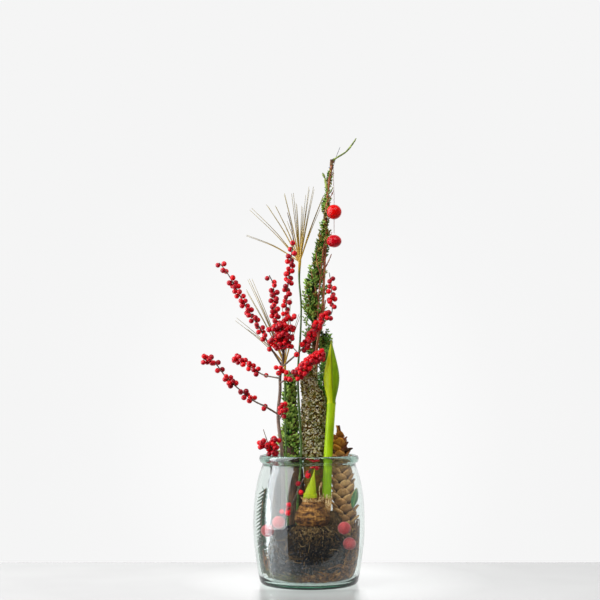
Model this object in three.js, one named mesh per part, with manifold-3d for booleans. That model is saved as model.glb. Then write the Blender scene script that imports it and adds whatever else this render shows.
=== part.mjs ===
// A winter arrangement in a glass jar: a berried holly branch, an amaryllis in bud,
// conifer twigs, a lichen-covered stick, a spruce cone, needle fans and red baubles.
// Millimetres, +Z up, the front faces -Y, origin at the centre of the jar's base.

import * as THREE from "three";
import { mergeVertices } from "three/addons/utils/BufferGeometryUtils.js";
import Module from "manifold-3d";

const wasm = await Module();
wasm.setup();

// ---- driving dimensions ----------------------------------------------------

const GAP = 0.35; // clearance between touching pieces
const BERRY_RADIUS = 3.7;
const HANGING_BAUBLE_RADIUS = 11.6;
const JAR_BAUBLE_RADIUS = 9.4;

const JAR = { segments: 32, floor: 8, wall: 3.6 };
const SOIL = { x: 2, radius: 59, top: 86, sides: 20 };
const BULB = { x: 5, y: -25, z: 100 };

// ---- helpers ---------------------------------------------------------------

const group = new THREE.Group();
const vec = (x, y, z) => new THREE.Vector3(x, y, z);
const points = (rows) => rows.map(([x, y, z]) => vec(x, y, z));
const lerp = THREE.MathUtils.lerp;
const TURN = Math.PI * 2;
const GOLDEN_ANGLE = 2.39996;

function seededRandom(seed) {
  let state = seed;
  return (low = 0, high = 1) => {
    state = (state * 16807) % 2147483647;
    return low + ((high - low) * state) / 2147483647;
  };
}

function solidOf(geometry) {
  const bare = geometry.clone();
  bare.deleteAttribute("normal");
  bare.deleteAttribute("uv");
  const merged = mergeVertices(bare, 1e-4);
  const mesh = new wasm.Mesh({
    numProp: 3,
    vertProperties: new Float32Array(merged.attributes.position.array),
    triVerts: new Uint32Array(merged.index.array),
  });
  return new wasm.Manifold(mesh);
}

function geometryOf(solid) {
  const mesh = solid.getMesh();
  const geometry = new THREE.BufferGeometry();
  geometry.setAttribute("position", new THREE.BufferAttribute(mesh.vertProperties, 3));
  geometry.setIndex(new THREE.BufferAttribute(mesh.triVerts, 1));
  geometry.computeVertexNormals();
  return geometry;
}

// Joins closed geometries into one body and drops loose scraps.
function fuse(geometries) {
  const whole = wasm.Manifold.union(geometries.map(solidOf));
  return largestBody(whole);
}

function largestBody(solid) {
  const bodies = solid.decompose();
  return bodies.reduce((best, body) => (body.volume() > best.volume() ? body : best));
}

function addNode(name, shape, colour, roughness = 0.7, metalness = 0) {
  const geometry = shape.isBufferGeometry ? shape : geometryOf(shape);
  const material = new THREE.MeshStandardMaterial({ color: colour, roughness, metalness });
  const mesh = new THREE.Mesh(geometry, material);
  mesh.name = name;
  group.add(mesh);
  return mesh;
}

// Rings across a route, each with a centre and two axes carried along without twist.
function ringsAlong(route, steps) {
  const curve = new THREE.CatmullRomCurve3(points(route), false, "centripetal");
  const rings = [];
  let across = vec(0.3, 1, 0.1);
  for (let ring = 0; ring <= steps; ring++) {
    const axis = curve.getTangent(ring / steps);
    across = across.clone().addScaledVector(axis, -across.dot(axis)).normalize();
    const centre = curve.getPoint(ring / steps);
    rings.push({ centre, axis, across, beside: axis.clone().cross(across) });
  }
  return rings;
}

// A value from a list of stations, read at a fraction of its length.
function station(values, along) {
  const slot = along * (values.length - 1);
  const low = Math.min(Math.floor(slot), values.length - 2);
  return lerp(values[low], values[low + 1], slot - low);
}

// A round stem along a route: a cylinder bent ring by ring, its radius read from a list.
// `relief` adds to the radius where the surface is knobbly.
function stem(route, radii, sides = 5, stepsPerSpan = 2, relief = () => 0) {
  const steps = (route.length - 1) * stepsPerSpan;
  const rings = ringsAlong(route, steps);
  const geometry = new THREE.CylinderGeometry(1, 1, 1, sides, steps);
  const position = geometry.attributes.position;
  for (let i = 0; i < position.count; i++) {
    const ring = Math.round((position.getY(i) + 0.5) * steps);
    const { centre, across, beside } = rings[ring];
    const angle = Math.atan2(position.getZ(i), position.getX(i));
    const radius = station(radii, ring / steps) + relief(ring, angle);
    const vertex = centre.clone();
    vertex.addScaledVector(across, position.getX(i) * radius);
    vertex.addScaledVector(beside, position.getZ(i) * radius);
    position.setXYZ(i, vertex.x, vertex.y, vertex.z);
  }
  return outward(geometry);
}

// Turns a closed geometry's faces outward where its deformation mirrored them.
function outward(geometry) {
  const flat = geometry.index ? geometry.toNonIndexed() : geometry;
  const p = flat.attributes.position;
  let volume = 0;
  for (let i = 0; i < p.count; i += 3) {
    const [a, b, c] = [0, 1, 2].map((k) => vec(p.getX(i + k), p.getY(i + k), p.getZ(i + k)));
    volume += a.dot(b.cross(c));
  }
  if (volume < 0) {
    const index = flat.attributes.position.clone();
    for (let i = 0; i < p.count; i += 3) {
      index.setXYZ(i + 1, p.getX(i + 2), p.getY(i + 2), p.getZ(i + 2));
      index.setXYZ(i + 2, p.getX(i + 1), p.getY(i + 1), p.getZ(i + 1));
    }
    flat.setAttribute("position", index);
  }
  return flat;
}

function placeAlong(geometry, from, direction, flatTurn = 0) {
  const turn = new THREE.Quaternion().setFromUnitVectors(vec(0, 0, 1), direction.clone().normalize());
  geometry.rotateZ(flatTurn);
  geometry.applyQuaternion(turn);
  return geometry.translate(from.x, from.y, from.z);
}

// A three-sided needle whose root lies at `from`.
function needle(from, direction, length, radius, sides = 3) {
  const geometry = new THREE.ConeGeometry(radius, length, sides, 1);
  geometry.rotateX(Math.PI / 2).translate(0, 0, length / 2);
  return placeAlong(geometry, from, direction, from.x * 0.7 + from.z);
}

// A leafy twiglet: a three-sided spindle, thickest at 40 % of its length, flattened.
function twiglet(from, direction, length, width, turn) {
  const profile = [
    new THREE.Vector2(0, 0),
    new THREE.Vector2(width, length * 0.4),
    new THREE.Vector2(0, length),
  ];
  const geometry = new THREE.LatheGeometry(profile, 3).rotateX(Math.PI / 2);
  geometry.scale(1, 0.55, 1);
  return placeAlong(outward(geometry), from, direction, turn);
}

function berry(centre, turn) {
  const geometry = new THREE.IcosahedronGeometry(BERRY_RADIUS, 0);
  geometry.rotateX(turn).rotateZ(turn * 1.7);
  return geometry.translate(centre.x, centre.y, centre.z);
}

function ball(centre, radius, columns = 10, rows = 7) {
  const geometry = new THREE.SphereGeometry(radius, columns, rows).rotateX(Math.PI / 2);
  return geometry.translate(centre.x, centre.y, centre.z);
}

function lathe(rows, segments) {
  const profile = rows.map(([radius, z]) => new THREE.Vector2(radius, z));
  return outward(new THREE.LatheGeometry(profile, segments).rotateX(Math.PI / 2));
}

// ---- glass jar -------------------------------------------------------------

// Outside of the jar from the base to the rolled rim, then the inside back down.
const JAR_OUTSIDE = [
  [70.5, 0], [74.2, 4], [79.0, 28], [83.2, 60], [84.6, 92], [83.2, 124],
  [79.6, 150], [74.0, 171], [70.6, 181], [75.0, 183.6], [75.8, 187.2], [73.6, 191],
];

function jarInnerRadius(z) {
  const above = JAR_OUTSIDE.findIndex(([, height]) => height >= z);
  const [radiusB, heightB] = JAR_OUTSIDE[above];
  const [radiusA, heightA] = JAR_OUTSIDE[above - 1];
  return lerp(radiusA, radiusB, (z - heightA) / (heightB - heightA)) - JAR.wall;
}

function buildJar() {
  const inside = [171, 150, 124, 92, 60, 28].map((z) => [jarInnerRadius(z), z]);
  const rows = [
    [0, 0],
    ...JAR_OUTSIDE,
    [68.0, 189.6],
    [67.0, 181],
    ...inside,
    [69, JAR.floor + 2.5],
    [65, JAR.floor],
    [0, JAR.floor],
  ];
  addNode("glass_jar", lathe(rows, JAR.segments), 0xdfe9e4, 0.05);
}

// ---- routes of everything that stands in the soil ---------------------------

const TRUNK = [[-38, -8, 26], [-39, -10, 100], [-41, -12, 196], [-47, -12, 251],
  [-44, -12, 292], [-44, -12, 313], [-40, -12, 335], [-39, -13, 356]];
const FAN_STALK = [[-20, -2, 40], [-18, -3, 110], [-12, -7, 196], [-17, -7, 313],
  [-13, -4, 378], [-12, -1, 421], [-15, 1, 464], [-14, 2, 492]];
const LOW_FAN_STALK = [[-31, 2, 40], [-34, 1, 150], [-36, 1, 250], [-37, 4, 334]];
const LICHEN_STICK = [[10, 17, 40], [10, 15, 110], [8, 10, 160], [7, 8, 200], [7, 8, 262],
  [4, 8, 290], [0, 8, 306], [0, 8, 325]];
const LICHEN_RADII = [10, 10.4, 14, 17, 17.4, 15.5, 12, 8];
const COLUMN = [[-21, 21, 34], [-22, 20, 120], [-27, 18, 192], [-28, 17, 262], [-27, 16, 318]];
const COLUMN_RADII = [13, 13, 9.5, 7.5, 2.4];
const SPIRE = [[8, 38, 34], [8, 38, 200], [9, 36, 300], [10, 28, 362], [9, 22, 401],
  [8, 20, 440], [12, 20, 475], [18, 20, 502], [23, 20, 526], [25, 19, 554],
  [27, 18, 580], [29, 16, 599], [32, 12, 622], [35, 8, 640], [36, 7, 650]];
const SPIRE_RADII = [4.6, 4.6, 4.6, 4.6, 7.5, 8.5, 8, 6.5, 5, 3.8, 3, 2.6, 2.3, 2.2, 2.2];
const BACK_SPRIG = [[29, 33, 34], [29, 31, 180], [24, 26, 278], [24, 25, 325], [26, 24, 380]];

// ---- holly ------------------------------------------------------------------

// Berries sit in twos to fives round a twig. `clumps` holds [place along, count].
function berriesAlong({ route, clumps }, random) {
  const curve = new THREE.CatmullRomCurve3(points(route), false, "centripetal");
  const berries = [];
  let turn = random(0, TURN);
  for (const [place, count] of clumps) {
    for (let i = 0; i < count; i++) {
      const along = THREE.MathUtils.clamp(place + (i - (count - 1) / 2) * 0.028, 0, 1);
      const centre = curve.getPointAt(along);
      const direction = curve.getTangentAt(along);
      const side = vec(1, 0, 0.2).cross(direction).normalize();
      side.applyAxisAngle(direction, turn);
      const reach = BERRY_RADIUS + random(0.1, 0.6);
      berries.push(berry(centre.addScaledVector(side, reach), turn));
      turn += GOLDEN_ANGLE;
    }
  }
  return berries;
}

const HOLLY_SPRAYS = [
  { // leader, straight up
    route: [[-40, -12, 335], [-37, -13, 368], [-35, -14, 414], [-34, -15, 432],
      [-27, -18, 498], [-24, -19, 520], [-27, -20, 541], [-33, -21, 563]],
    radii: [1.9, 1.5, 1.3, 1.0, 0.7],
    clumps: [[0.2, 2], [0.27, 3], [0.36, 2], [0.44, 2], [0.5, 3], [0.57, 2], [0.63, 2],
      [0.7, 3], [0.79, 1]],
  },
  { // long spray to the upper left
    route: [[-42, -12, 330], [-58, -16, 356], [-78, -22, 391], [-94, -26, 415],
      [-114, -31, 452], [-126, -34, 472], [-136, -36, 484]],
    radii: [1.8, 1.4, 1.1, 0.8],
    clumps: [[0.18, 1], [0.3, 2], [0.4, 3], [0.49, 2], [0.57, 3], [0.66, 3], [0.74, 2],
      [0.8, 2], [0.92, 2], [0.98, 1]],
  },
  { // inner spray, leaning forward
    route: [[-39, -13, 350], [-45, -24, 376], [-51, -32, 402], [-53, -38, 428],
      [-54, -44, 451], [-60, -48, 464]],
    radii: [1.6, 1.3, 1.0, 0.8],
    clumps: [[0.1, 3], [0.2, 4], [0.3, 4], [0.42, 4], [0.54, 3], [0.66, 2], [0.76, 2],
      [0.88, 2], [0.98, 1]],
  },
  { // long low spray to the left
    route: [[-48, -13, 256], [-68, -24, 268], [-82, -30, 275], [-99, -38, 288],
      [-124, -48, 311], [-143, -54, 334], [-158, -58, 338]],
    radii: [1.8, 1.4, 1.1, 0.8],
    clumps: [[0.16, 1], [0.3, 2], [0.42, 4], [0.6, 2], [0.67, 2], [0.78, 2], [0.9, 3],
      [0.98, 2]],
  },
  { // short spray to the left, leaning back
    route: [[-45, -11, 310], [-69, 2, 315], [-85, 12, 324], [-96, 20, 332], [-115, 30, 342]],
    radii: [1.6, 1.2, 0.8],
    clumps: [[0.3, 1], [0.48, 2], [0.66, 2], [0.82, 3], [0.96, 4]],
  },
  { // right spray, in front of the spire
    route: [[-40, -13, 328], [-17, -18, 348], [-3, -17, 363], [6, -16, 379],
      [14, -15, 392], [24, -14, 403], [34, -12, 408], [35, -11, 429], [34, -10, 453],
      [31, -9, 472]],
    radii: [1.7, 1.4, 1.2, 0.9, 0.7],
    clumps: [[0.16, 1], [0.3, 3], [0.38, 4], [0.46, 4], [0.53, 2], [0.6, 1], [0.73, 2],
      [0.82, 4], [0.93, 2]],
  },
  { // dense low spray to the right
    route: [[-43, -13, 303], [-29, -26, 312], [-15, -30, 319], [-2, -30, 333],
      [10, -29, 342], [21, -27, 347]],
    radii: [1.6, 1.3, 0.9],
    clumps: [[0.22, 1], [0.4, 3], [0.52, 3], [0.66, 4], [0.8, 4], [0.95, 4]],
  },
  { // small spur on the front of the trunk
    route: [[-45, -13, 248], [-40, -21, 258], [-37, -25, 270]],
    radii: [1.5, 1.0],
    clumps: [[0.35, 2], [0.7, 3], [0.98, 2]],
  },
  { // cross twig
    route: [[-34, -14, 368], [-24, -17, 356], [-14, -19, 346]],
    radii: [0.9, 0.8],
    clumps: [],
  },
];

function buildHollyBranch() {
  const random = seededRandom(1203);
  const parts = [stem(TRUNK, [3.2, 3.1, 3.0, 2.8, 2.6, 2.4, 2.0], 6)];
  for (const spray of HOLLY_SPRAYS) {
    parts.push(stem(spray.route, spray.radii, 3, 1));
    parts.push(...berriesAlong(spray, random));
  }
  addNode("holly_branch", fuse(parts), 0xb3101c, 0.4);
}

const RIM_SPRIG = {
  route: [[-49, -15, 56], [-52, -16, 110], [-54, -20, 190], [-56, -25, 201], [-64, -29, 208],
    [-74, -32, 208]],
  radii: [1.6, 1.5, 1.3, 1.0],
  clumps: [[0.8, 3], [0.88, 4], [0.97, 4]],
};
const RIM_SPRIG_FORK = {
  route: [[-56, -25, 201], [-51, -27, 209], [-49, -28, 217]],
  radii: [1.1, 0.9],
  clumps: [[0.3, 2], [0.85, 2]],
};
const RIM_SPRIG_TIP = [[-61, -27.5, 206], [-65, -28, 218], [-69, -30, 230]];
const JAR_SPRIG = {
  route: [[-41, -50, 105], [-33, -43, 112], [-26, -34, 122], [-14, -22, 146],
    [-7, -19, 160], [4, -18, 172], [13, -19, 181]],
  radii: [1.3, 1.2, 0.9],
  clumps: [[0.08, 2], [0.2, 2], [0.5, 1], [0.6, 1], [0.78, 2], [0.95, 3]],
};

function buildSmallHollySprigs() {
  const random = seededRandom(77);
  const atRim = [stem(RIM_SPRIG.route, RIM_SPRIG.radii, 4, 1)];
  atRim.push(...berriesAlong(RIM_SPRIG, random));
  atRim.push(stem(RIM_SPRIG_FORK.route, RIM_SPRIG_FORK.radii, 4, 1));
  atRim.push(...berriesAlong(RIM_SPRIG_FORK, random));
  atRim.push(stem(RIM_SPRIG_TIP, [0.9, 0.6], 3, 1));
  addNode("holly_sprig_at_rim", fuse(atRim), 0xb3101c, 0.4);

  const inJar = [stem(JAR_SPRIG.route, JAR_SPRIG.radii, 4, 1)];
  inJar.push(...berriesAlong(JAR_SPRIG, random));
  addNode("holly_sprig_in_jar", fuse(inJar), 0xb3101c, 0.4);
}

// ---- amaryllis --------------------------------------------------------------

// The bulb's outline about its middle, from the root plate to the open neck.
const BULB_ROWS = [[0, -17], [14, -15], [24, -8], [27.5, 0], [26, 7], [20, 17], [14, 24],
  [12.4, 29], [0, 27]];
const SCAPE = [[24, -20, 108], [26, -18, 128], [29, -16, 196], [34, -14, 272]];

// A closed bud: flattened spindle with a node ring at its foot.
function bud() {
  const rows = [[0, -4], [6.2, -3], [6.6, 0], [6.0, 3], [8.6, 14], [11.6, 32], [11.4, 42],
    [8.6, 60], [4.8, 76], [1.8, 88], [0, 95]];
  const geometry = lathe(rows, 10);
  geometry.scale(1, 0.86, 1);
  return placeAlong(geometry, vec(34, -14, 272), vec(0.01, 0, 1));
}

function buildAmaryllis() {
  const bulb = lathe(BULB_ROWS, 16).translate(BULB.x, BULB.y, BULB.z);
  const shoot = stem([[1, -26, 122], [2, -27, 136], [5, -27, 152], [8, -27, 171]],
    [9.6, 8.8, 5.6, 0.5], 8);
  const scape = stem(SCAPE, [7.2, 7.0, 6.7, 6.6], 9, 1);
  addNode("amaryllis_plant", fuse([bulb, shoot, scape, bud()]), 0x86b52b, 0.5);
}

// ---- cone -------------------------------------------------------------------

const CONE_AXIS = [[56, 8, 62], [55, 8, 90], [53, 8, 130], [50.5, 7, 165], [47.5, 5, 205],
  [45, 4, 238]];
const CONE_RADII = [12, 19, 20.5, 17.5, 10, 4];
const CONE_SCALES = { bands: 14, around: 6, sides: 24, overlap: 7, rim: 5 };

// The cone's surface is raised by a formula: each band of scales widens to a scalloped
// rim, then drops to the next band, which is turned by half a scale.
function buildCone() {
  const { bands, around, sides, overlap, rim } = CONE_SCALES;
  const steps = bands * 2 - 1;
  const rings = ringsAlong(CONE_AXIS, steps);
  const geometry = new THREE.CylinderGeometry(1, 1, 1, sides, steps);
  const position = geometry.attributes.position;
  for (let i = 0; i < position.count; i++) {
    const ring = Math.round((position.getY(i) + 0.5) * steps);
    const isRim = ring % 2 === 1;
    const band = Math.floor(ring / 2);
    const full = station(CONE_RADII, (band + 0.5) / bands);
    const angle = Math.atan2(position.getZ(i), position.getX(i));
    const scallop = Math.abs(Math.cos((angle * around + band * Math.PI) / 2));
    const reach = isRim ? full - 2.4 * (1 - scallop) : full - rim;
    const radius = reach * Math.hypot(position.getX(i), position.getZ(i));
    const { centre, axis, across, beside } = rings[ring];
    const vertex = centre.clone();
    vertex.addScaledVector(axis, isRim ? (scallop - 0.2) * overlap : 0);
    vertex.addScaledVector(across, Math.cos(angle) * radius);
    vertex.addScaledVector(beside, Math.sin(angle) * radius);
    position.setXYZ(i, vertex.x, vertex.y, vertex.z);
  }
  addNode("spruce_cone", solidOf(outward(geometry)), 0x8a5a33, 0.75);
}

// ---- conifer twigs, stick and needles -----------------------------------------

// Leafy twiglets round a route, packed by the golden angle, leaning up and out.
function foliage(route, options) {
  const { from, to, count, core, reach, length, width, lean, seed } = options;
  const random = seededRandom(seed);
  const curve = new THREE.CatmullRomCurve3(points(route), false, "centripetal");
  const pieces = [];
  for (let i = 0; i < count; i++) {
    const along = lerp(from, to, (i + 0.5) / count);
    const axis = curve.getTangentAt(along);
    const side = vec(1, 0, 0).applyAxisAngle(axis, i * GOLDEN_ANGLE);
    side.addScaledVector(axis, -side.dot(axis)).normalize();
    const out = reach((i + 0.5) / count);
    const root = curve.getPointAt(along).addScaledVector(side, core * 0.7);
    const tilt = lean * random(0.6, 1.4) + Math.max(out - core, 0) / length;
    const direction = axis.clone().addScaledVector(side, tilt);
    pieces.push(twiglet(root, direction, length * random(0.8, 1.15), width, i * 1.3));
  }
  return pieces;
}

// The stick's surface is knobbly with lichen above the soil, by a formula.
function buildLichenStick() {
  const knobs = (ring, angle) => {
    const wave = Math.sin(angle * 3 + ring * 2.4) + Math.sin(angle * 5 - ring * 1.7);
    return ring < 6 ? 0 : wave * 0.85;
  };
  addNode("lichen_stick", solidOf(stem(LICHEN_STICK, LICHEN_RADII, 13, 3, knobs)), 0x7d6a48, 0.95);
}

function buildConiferColumn() {
  const foot = stem(COLUMN, COLUMN_RADII, 8, 2);
  const leaves = foliage(COLUMN, {
    from: 0.53, to: 0.97, count: 48, core: 6, length: 25, width: 3.9, lean: 0.16, seed: 21,
    reach: (t) => lerp(11, 5, t),
  });
  addNode("conifer_column", fuse([foot, ...leaves]), 0x2f6b2a, 0.8);
}

const SPIRE_TIP_TWIG = [[36, 7, 648], [44, 6, 653], [58, 4, 662], [68, 3, 674], [74, 2, 683]];

function buildConiferSpire() {
  const wood = stem(SPIRE, SPIRE_RADII, 7, 1);
  const tip = stem(SPIRE_TIP_TWIG, [1.4, 1.2, 1.5, 1.0, 0.6], 5, 2);
  const lower = foliage(SPIRE, {
    from: 0.53, to: 0.81, count: 54, core: 4.6, length: 27, width: 4.2, lean: 0.14, seed: 39,
    reach: (t) => station([8, 14, 14, 8, 3], t),
  });
  const upper = foliage(SPIRE, {
    from: 0.8, to: 0.925, count: 16, core: 2.6, length: 20, width: 2.8, lean: 0.06, seed: 33,
    reach: (t) => lerp(5, 2.6, t),
  });
  const leaf = twiglet(vec(27, 14, 606), vec(-0.45, 0, 1), 24, 2.6, 0);
  const knot = twiglet(vec(35.4, 7.6, 643), vec(0.3, 0, 1), 12, 4, 0.4);
  const sideTwig = stem([[28, 15, 596], [34, 8, 600], [37.4, 4.8, 606]], [1.4, 1.2, 0.7], 4, 1);
  const parts = [wood, tip, ...lower, ...upper, leaf, knot, sideTwig];
  addNode("conifer_spire", fuse(parts), 0x3f6a2c, 0.8);
}

// A piece of bark that stands behind the holly, an oval rod with a knobbly surface.
const BARK = { foot: [-47.3, 23, 44], height: 142, halfWidth: 11.5, halfDepth: 5.5, lean: -0.012 };

function barkRod(grow, knob) {
  const { foot, height, halfWidth, halfDepth, lean } = BARK;
  const section = new THREE.Shape();
  section.absellipse(0, 0, halfWidth + grow, halfDepth + grow, 0, TURN);
  const geometry = new THREE.ExtrudeGeometry(section, {
    steps: 5, depth: height, bevelEnabled: false, curveSegments: 4,
  });
  const position = geometry.attributes.position;
  for (let i = 0; i < position.count; i++) {
    const wave = Math.sin(position.getZ(i) * 0.11 + position.getX(i) * 0.3);
    position.setX(i, position.getX(i) * (1 + knob * wave));
    position.setY(i, position.getY(i) * (1 - knob * 2 * wave));
  }
  return geometry.rotateY(lean).translate(...foot);
}

function buildBark() {
  addNode("bark_piece", barkRod(0, 0.06), 0x5a3d26, 0.95);
}

function buildBackSprig() {
  const wood = stem(BACK_SPRIG, [2.6, 2.4, 2.2, 1.8, 1.0], 6, 2);
  const leaves = foliage(BACK_SPRIG, {
    from: 0.68, to: 0.99, count: 32, core: 1.6, length: 18, width: 2.6, lean: 0.3, seed: 41,
    reach: () => 5,
  });
  addNode("conifer_back_sprig", fuse([wood, ...leaves]), 0x1f5a2a, 0.8);
}

const FIR_SPRIG = [[-66.5, -6, 16], [-71.5, -6, 66], [-71.2, -6, 111], [-66.5, -6, 142]];

function buildFirSprig() {
  const random = seededRandom(55);
  const curve = new THREE.CatmullRomCurve3(points(FIR_SPRIG), false, "centripetal");
  const parts = [stem(FIR_SPRIG, [2.2, 1.9, 1.6, 0.9], 5, 2)];
  const count = 32;
  for (let i = 0; i < count; i++) {
    const along = lerp(0.1, 0.99, i / count);
    const axis = curve.getTangentAt(along);
    const turn = (i % 2 ? 1 : -1) * random(0.5, 1.0) + (i % 4 < 2 ? 0 : Math.PI);
    const side = vec(0, 1, 0).applyAxisAngle(axis, turn);
    const direction = axis.clone().addScaledVector(side, 0.85);
    parts.push(needle(curve.getPointAt(along), direction, random(9.5, 12.5), 1.1));
  }
  addNode("fir_sprig", fuse(parts), 0x1d5030, 0.6);
}

// Long thin needles from one sheath. `tips` lists where each needle ends.
function needleFan(stalk, stalkRadii, hub, tips, thickness) {
  const parts = [stem(stalk, stalkRadii, 6, 2)];
  for (const [x, y, z] of tips) {
    const end = vec(x, y, z);
    const start = vec(...hub);
    const middle = start.clone().lerp(end, 0.5).add(vec(0, 0, 5 * Math.sign(end.z - start.z)));
    const route = [start.toArray(), middle.toArray(), end.toArray()];
    parts.push(stem(route, [thickness, thickness * 0.85, 0.45], 3, 1));
  }
  return fuse(parts);
}

const TALL_FAN_TIPS = [[-97, 24, 534], [-90, 34, 578], [-67, 44, 585], [-53, 34, 582],
  [-38, 26, 600], [-20, 34, 586], [-11, 52, 584], [-5, -22, 590], [0, -34, 601],
  [7, -20, 603], [22, -16, 590], [16, -30, 573], [-24, -4, 596], [-34, 56, 560]];
const LOW_FAN_TIPS = [[-112, 20, 404], [-96, 34, 387], [-98, 40, 450], [-94, 54, 468],
  [-89, 30, 466], [-42, 50, 430], [-29, 44, 436], [-15, 10, 410], [-60, 52, 448]];

function buildNeedleFans() {
  const tall = needleFan(FAN_STALK, [1.9, 1.9, 1.8, 1.6, 1.4, 1.5, 2.4], [-14, 2, 489],
    TALL_FAN_TIPS, 0.75);
  addNode("needle_fan_tall", tall, 0xa98f2e, 0.6);
  const low = needleFan(LOW_FAN_STALK, [1.6, 1.6, 1.5, 2.0], [-37, 4, 331], LOW_FAN_TIPS, 0.75);
  addNode("needle_fan_low", low, 0xa98f2e, 0.6);
}

// ---- baubles, thread and wire ---------------------------------------------------

const THREAD = { radius: 0.45, foot: [39, 1, 533.5] };
const THREAD_ROUTE = [THREAD.foot, [39, 1, 567], [39, 1, 594], [38.6, 2, 606], [38.1, 4.8, 638]];
const HANGING = [
  { name: "bauble_hanging_upper", z: 567, colour: 0xd01818 },
  { name: "bauble_hanging_lower", z: 521.5, colour: 0xa30f22 },
];
const JAR_BAUBLES = [
  { name: "bauble_in_jar_right_upper", at: [51.2, -49.2, 88] },
  { name: "bauble_in_jar_right_lower", at: [59, -37.7, 64] },
  { name: "bauble_in_jar_left_front", at: [-44.6, -55, 97] },
  { name: "bauble_in_jar_left_back", at: [-61, -35.6, 83] },
];

const CORD_SIDES = 8;

function cordTube(route, radius, steps) {
  const section = new THREE.Shape();
  section.absarc(0, 0, radius, 0, TURN);
  return new THREE.ExtrudeGeometry(section, {
    steps,
    bevelEnabled: false,
    curveSegments: CORD_SIDES / 2,
    extrudePath: new THREE.CatmullRomCurve3(points(route), false, "centripetal"),
  });
}

function buildHangingBaubles() {
  addNode("bauble_thread", cordTube(THREAD_ROUTE, THREAD.radius, 10), 0x8a7a70, 0.8);
  const [x, y] = THREAD.foot;
  const [upper, lower] = HANGING;
  const bore = new THREE.CylinderGeometry(THREAD.radius + GAP, THREAD.radius + GAP, 30, 8)
    .rotateX(Math.PI / 2)
    .translate(x, y, upper.z);
  const whole = solidOf(ball(vec(x, y, upper.z), HANGING_BAUBLE_RADIUS, 12, 8));
  addNode(upper.name, whole.subtract(solidOf(bore)), upper.colour, 0.15);
  addNode(lower.name, ball(vec(x, y, lower.z), HANGING_BAUBLE_RADIUS, 12, 8), lower.colour, 0.15);
}

function buildJarBaubles() {
  for (const { name, at } of JAR_BAUBLES) {
    addNode(name, ball(vec(...at), JAR_BAUBLE_RADIUS), 0xb01226, 0.6);
  }
}

// One turn of wire round the spire's top, with a free end standing up.
function buildBindingWire() {
  const ring = new THREE.TorusGeometry(3.6, 0.5, 4, 12).translate(34.8, 8.3, 638);
  const end = stem([[37.6, 10.6, 638], [41, 12, 650], [45, 13, 661], [49, 13, 671]],
    [0.5, 0.45, 0.4], 4, 1);
  addNode("binding_wire", fuse([outward(ring), end]), 0x8d8f94, 0.4, 0.8);
}

// ---- loose leaf, straw and soil ---------------------------------------------------

function buildLeaf() {
  const shape = new THREE.Shape();
  shape.moveTo(0, -14);
  shape.bezierCurveTo(5.4, -7, 5.0, 6, 0, 14);
  shape.bezierCurveTo(-5.0, 6, -5.4, -7, 0, -14);
  const geometry = new THREE.ExtrudeGeometry(shape, {
    depth: 0.9, bevelEnabled: false, curveSegments: 5,
  });
  geometry.rotateX(Math.PI / 2).rotateY(0.2).rotateZ(0.25).translate(67.2, -28.8, 130);
  addNode("green_leaf", outward(geometry), 0x1e4a26, 0.45);
}

const STRAW = { radius: 64, base: 11.4, thickness: 3.1, count: 14 };

// Height of the straw round the wall: highest at the right, running out at both ends.
function strawHeight(angle) {
  return 20 + 26 * Math.exp(-((angle - 0.1) ** 2) / 0.5);
}

function buildStraw() {
  const random = seededRandom(91);
  const [start, end] = [-1.75, 2.1];
  const { radius: mid, base, thickness, count } = STRAW;
  const arc = (t, radius, z) => {
    const angle = lerp(start, end, t);
    return [Math.cos(angle) * radius, Math.sin(angle) * radius, z];
  };
  const coreRoute = [0, 0.2, 0.4, 0.6, 0.8, 1].map((t) => arc(t, mid, base));
  const parts = [stem(coreRoute, [2, thickness, thickness, 2], 5, 2)];
  for (let i = 0; i < count; i++) {
    const first = lerp(0.03, 0.82, i / (count - 1));
    const last = first + random(0.07, 0.14);
    const middle = (first + last) / 2;
    const rise = strawHeight(lerp(start, end, middle)) * random(0.5, 1);
    const rows = [
      arc(first, mid, base),
      arc(middle, mid + 2, base + rise * 0.45),
      arc(last, mid + 3, base + rise),
    ];
    parts.push(stem(rows, [1.2, 1.0, 0.6], 3, 2));
  }
  addNode("straw_nest", fuse(parts), 0xa9824e, 0.9);
}

// The soil fills the jar's middle; every stem, the bulb and the cone stand in plain holes.
function buildSoil() {
  const { x, radius, top, sides } = SOIL;
  const floor = JAR.floor + GAP;
  const rows = [[0, floor], [radius - 8, floor], [radius - 1, 24], [radius, 50],
    [radius - 1.5, 72], [radius - 9, top], [0, top + 2]];
  let soil = solidOf(lathe(rows, sides).translate(x, 0, 0));
  const clear = (geometry) => { soil = soil.subtract(solidOf(geometry)); };

  for (const [route, size] of [
    [TRUNK, 3.3], [FAN_STALK, 2.0], [LOW_FAN_STALK, 1.7], [COLUMN, 14.4],
    [SPIRE, 4.8], [BACK_SPRIG, 2.8], [LICHEN_STICK, 12.2], [RIM_SPRIG.route, 1.9],
  ]) {
    clear(stemHole(route, size + GAP * 1.8, 7));
  }
  clear(lathe(BULB_ROWS, 16).scale(1.03, 1.03, 1.03).translate(BULB.x, BULB.y, BULB.z));
  clear(barkRod(GAP * 4, 0).translate(0, 0, -GAP));
  const coneFoot = [CONE_AXIS[0][0], CONE_AXIS[0][1], CONE_AXIS[0][2] - GAP];
  clear(stem([coneFoot, ...CONE_AXIS.slice(1)], CONE_RADII.map((size) => size + 2), 12, 1));
  for (const { at } of JAR_BAUBLES) {
    clear(ball(vec(...at), JAR_BAUBLE_RADIUS + GAP * 1.5));
  }
  addNode("soil_root_ball", largestBody(soil), 0x2a221d, 1);
}

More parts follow.
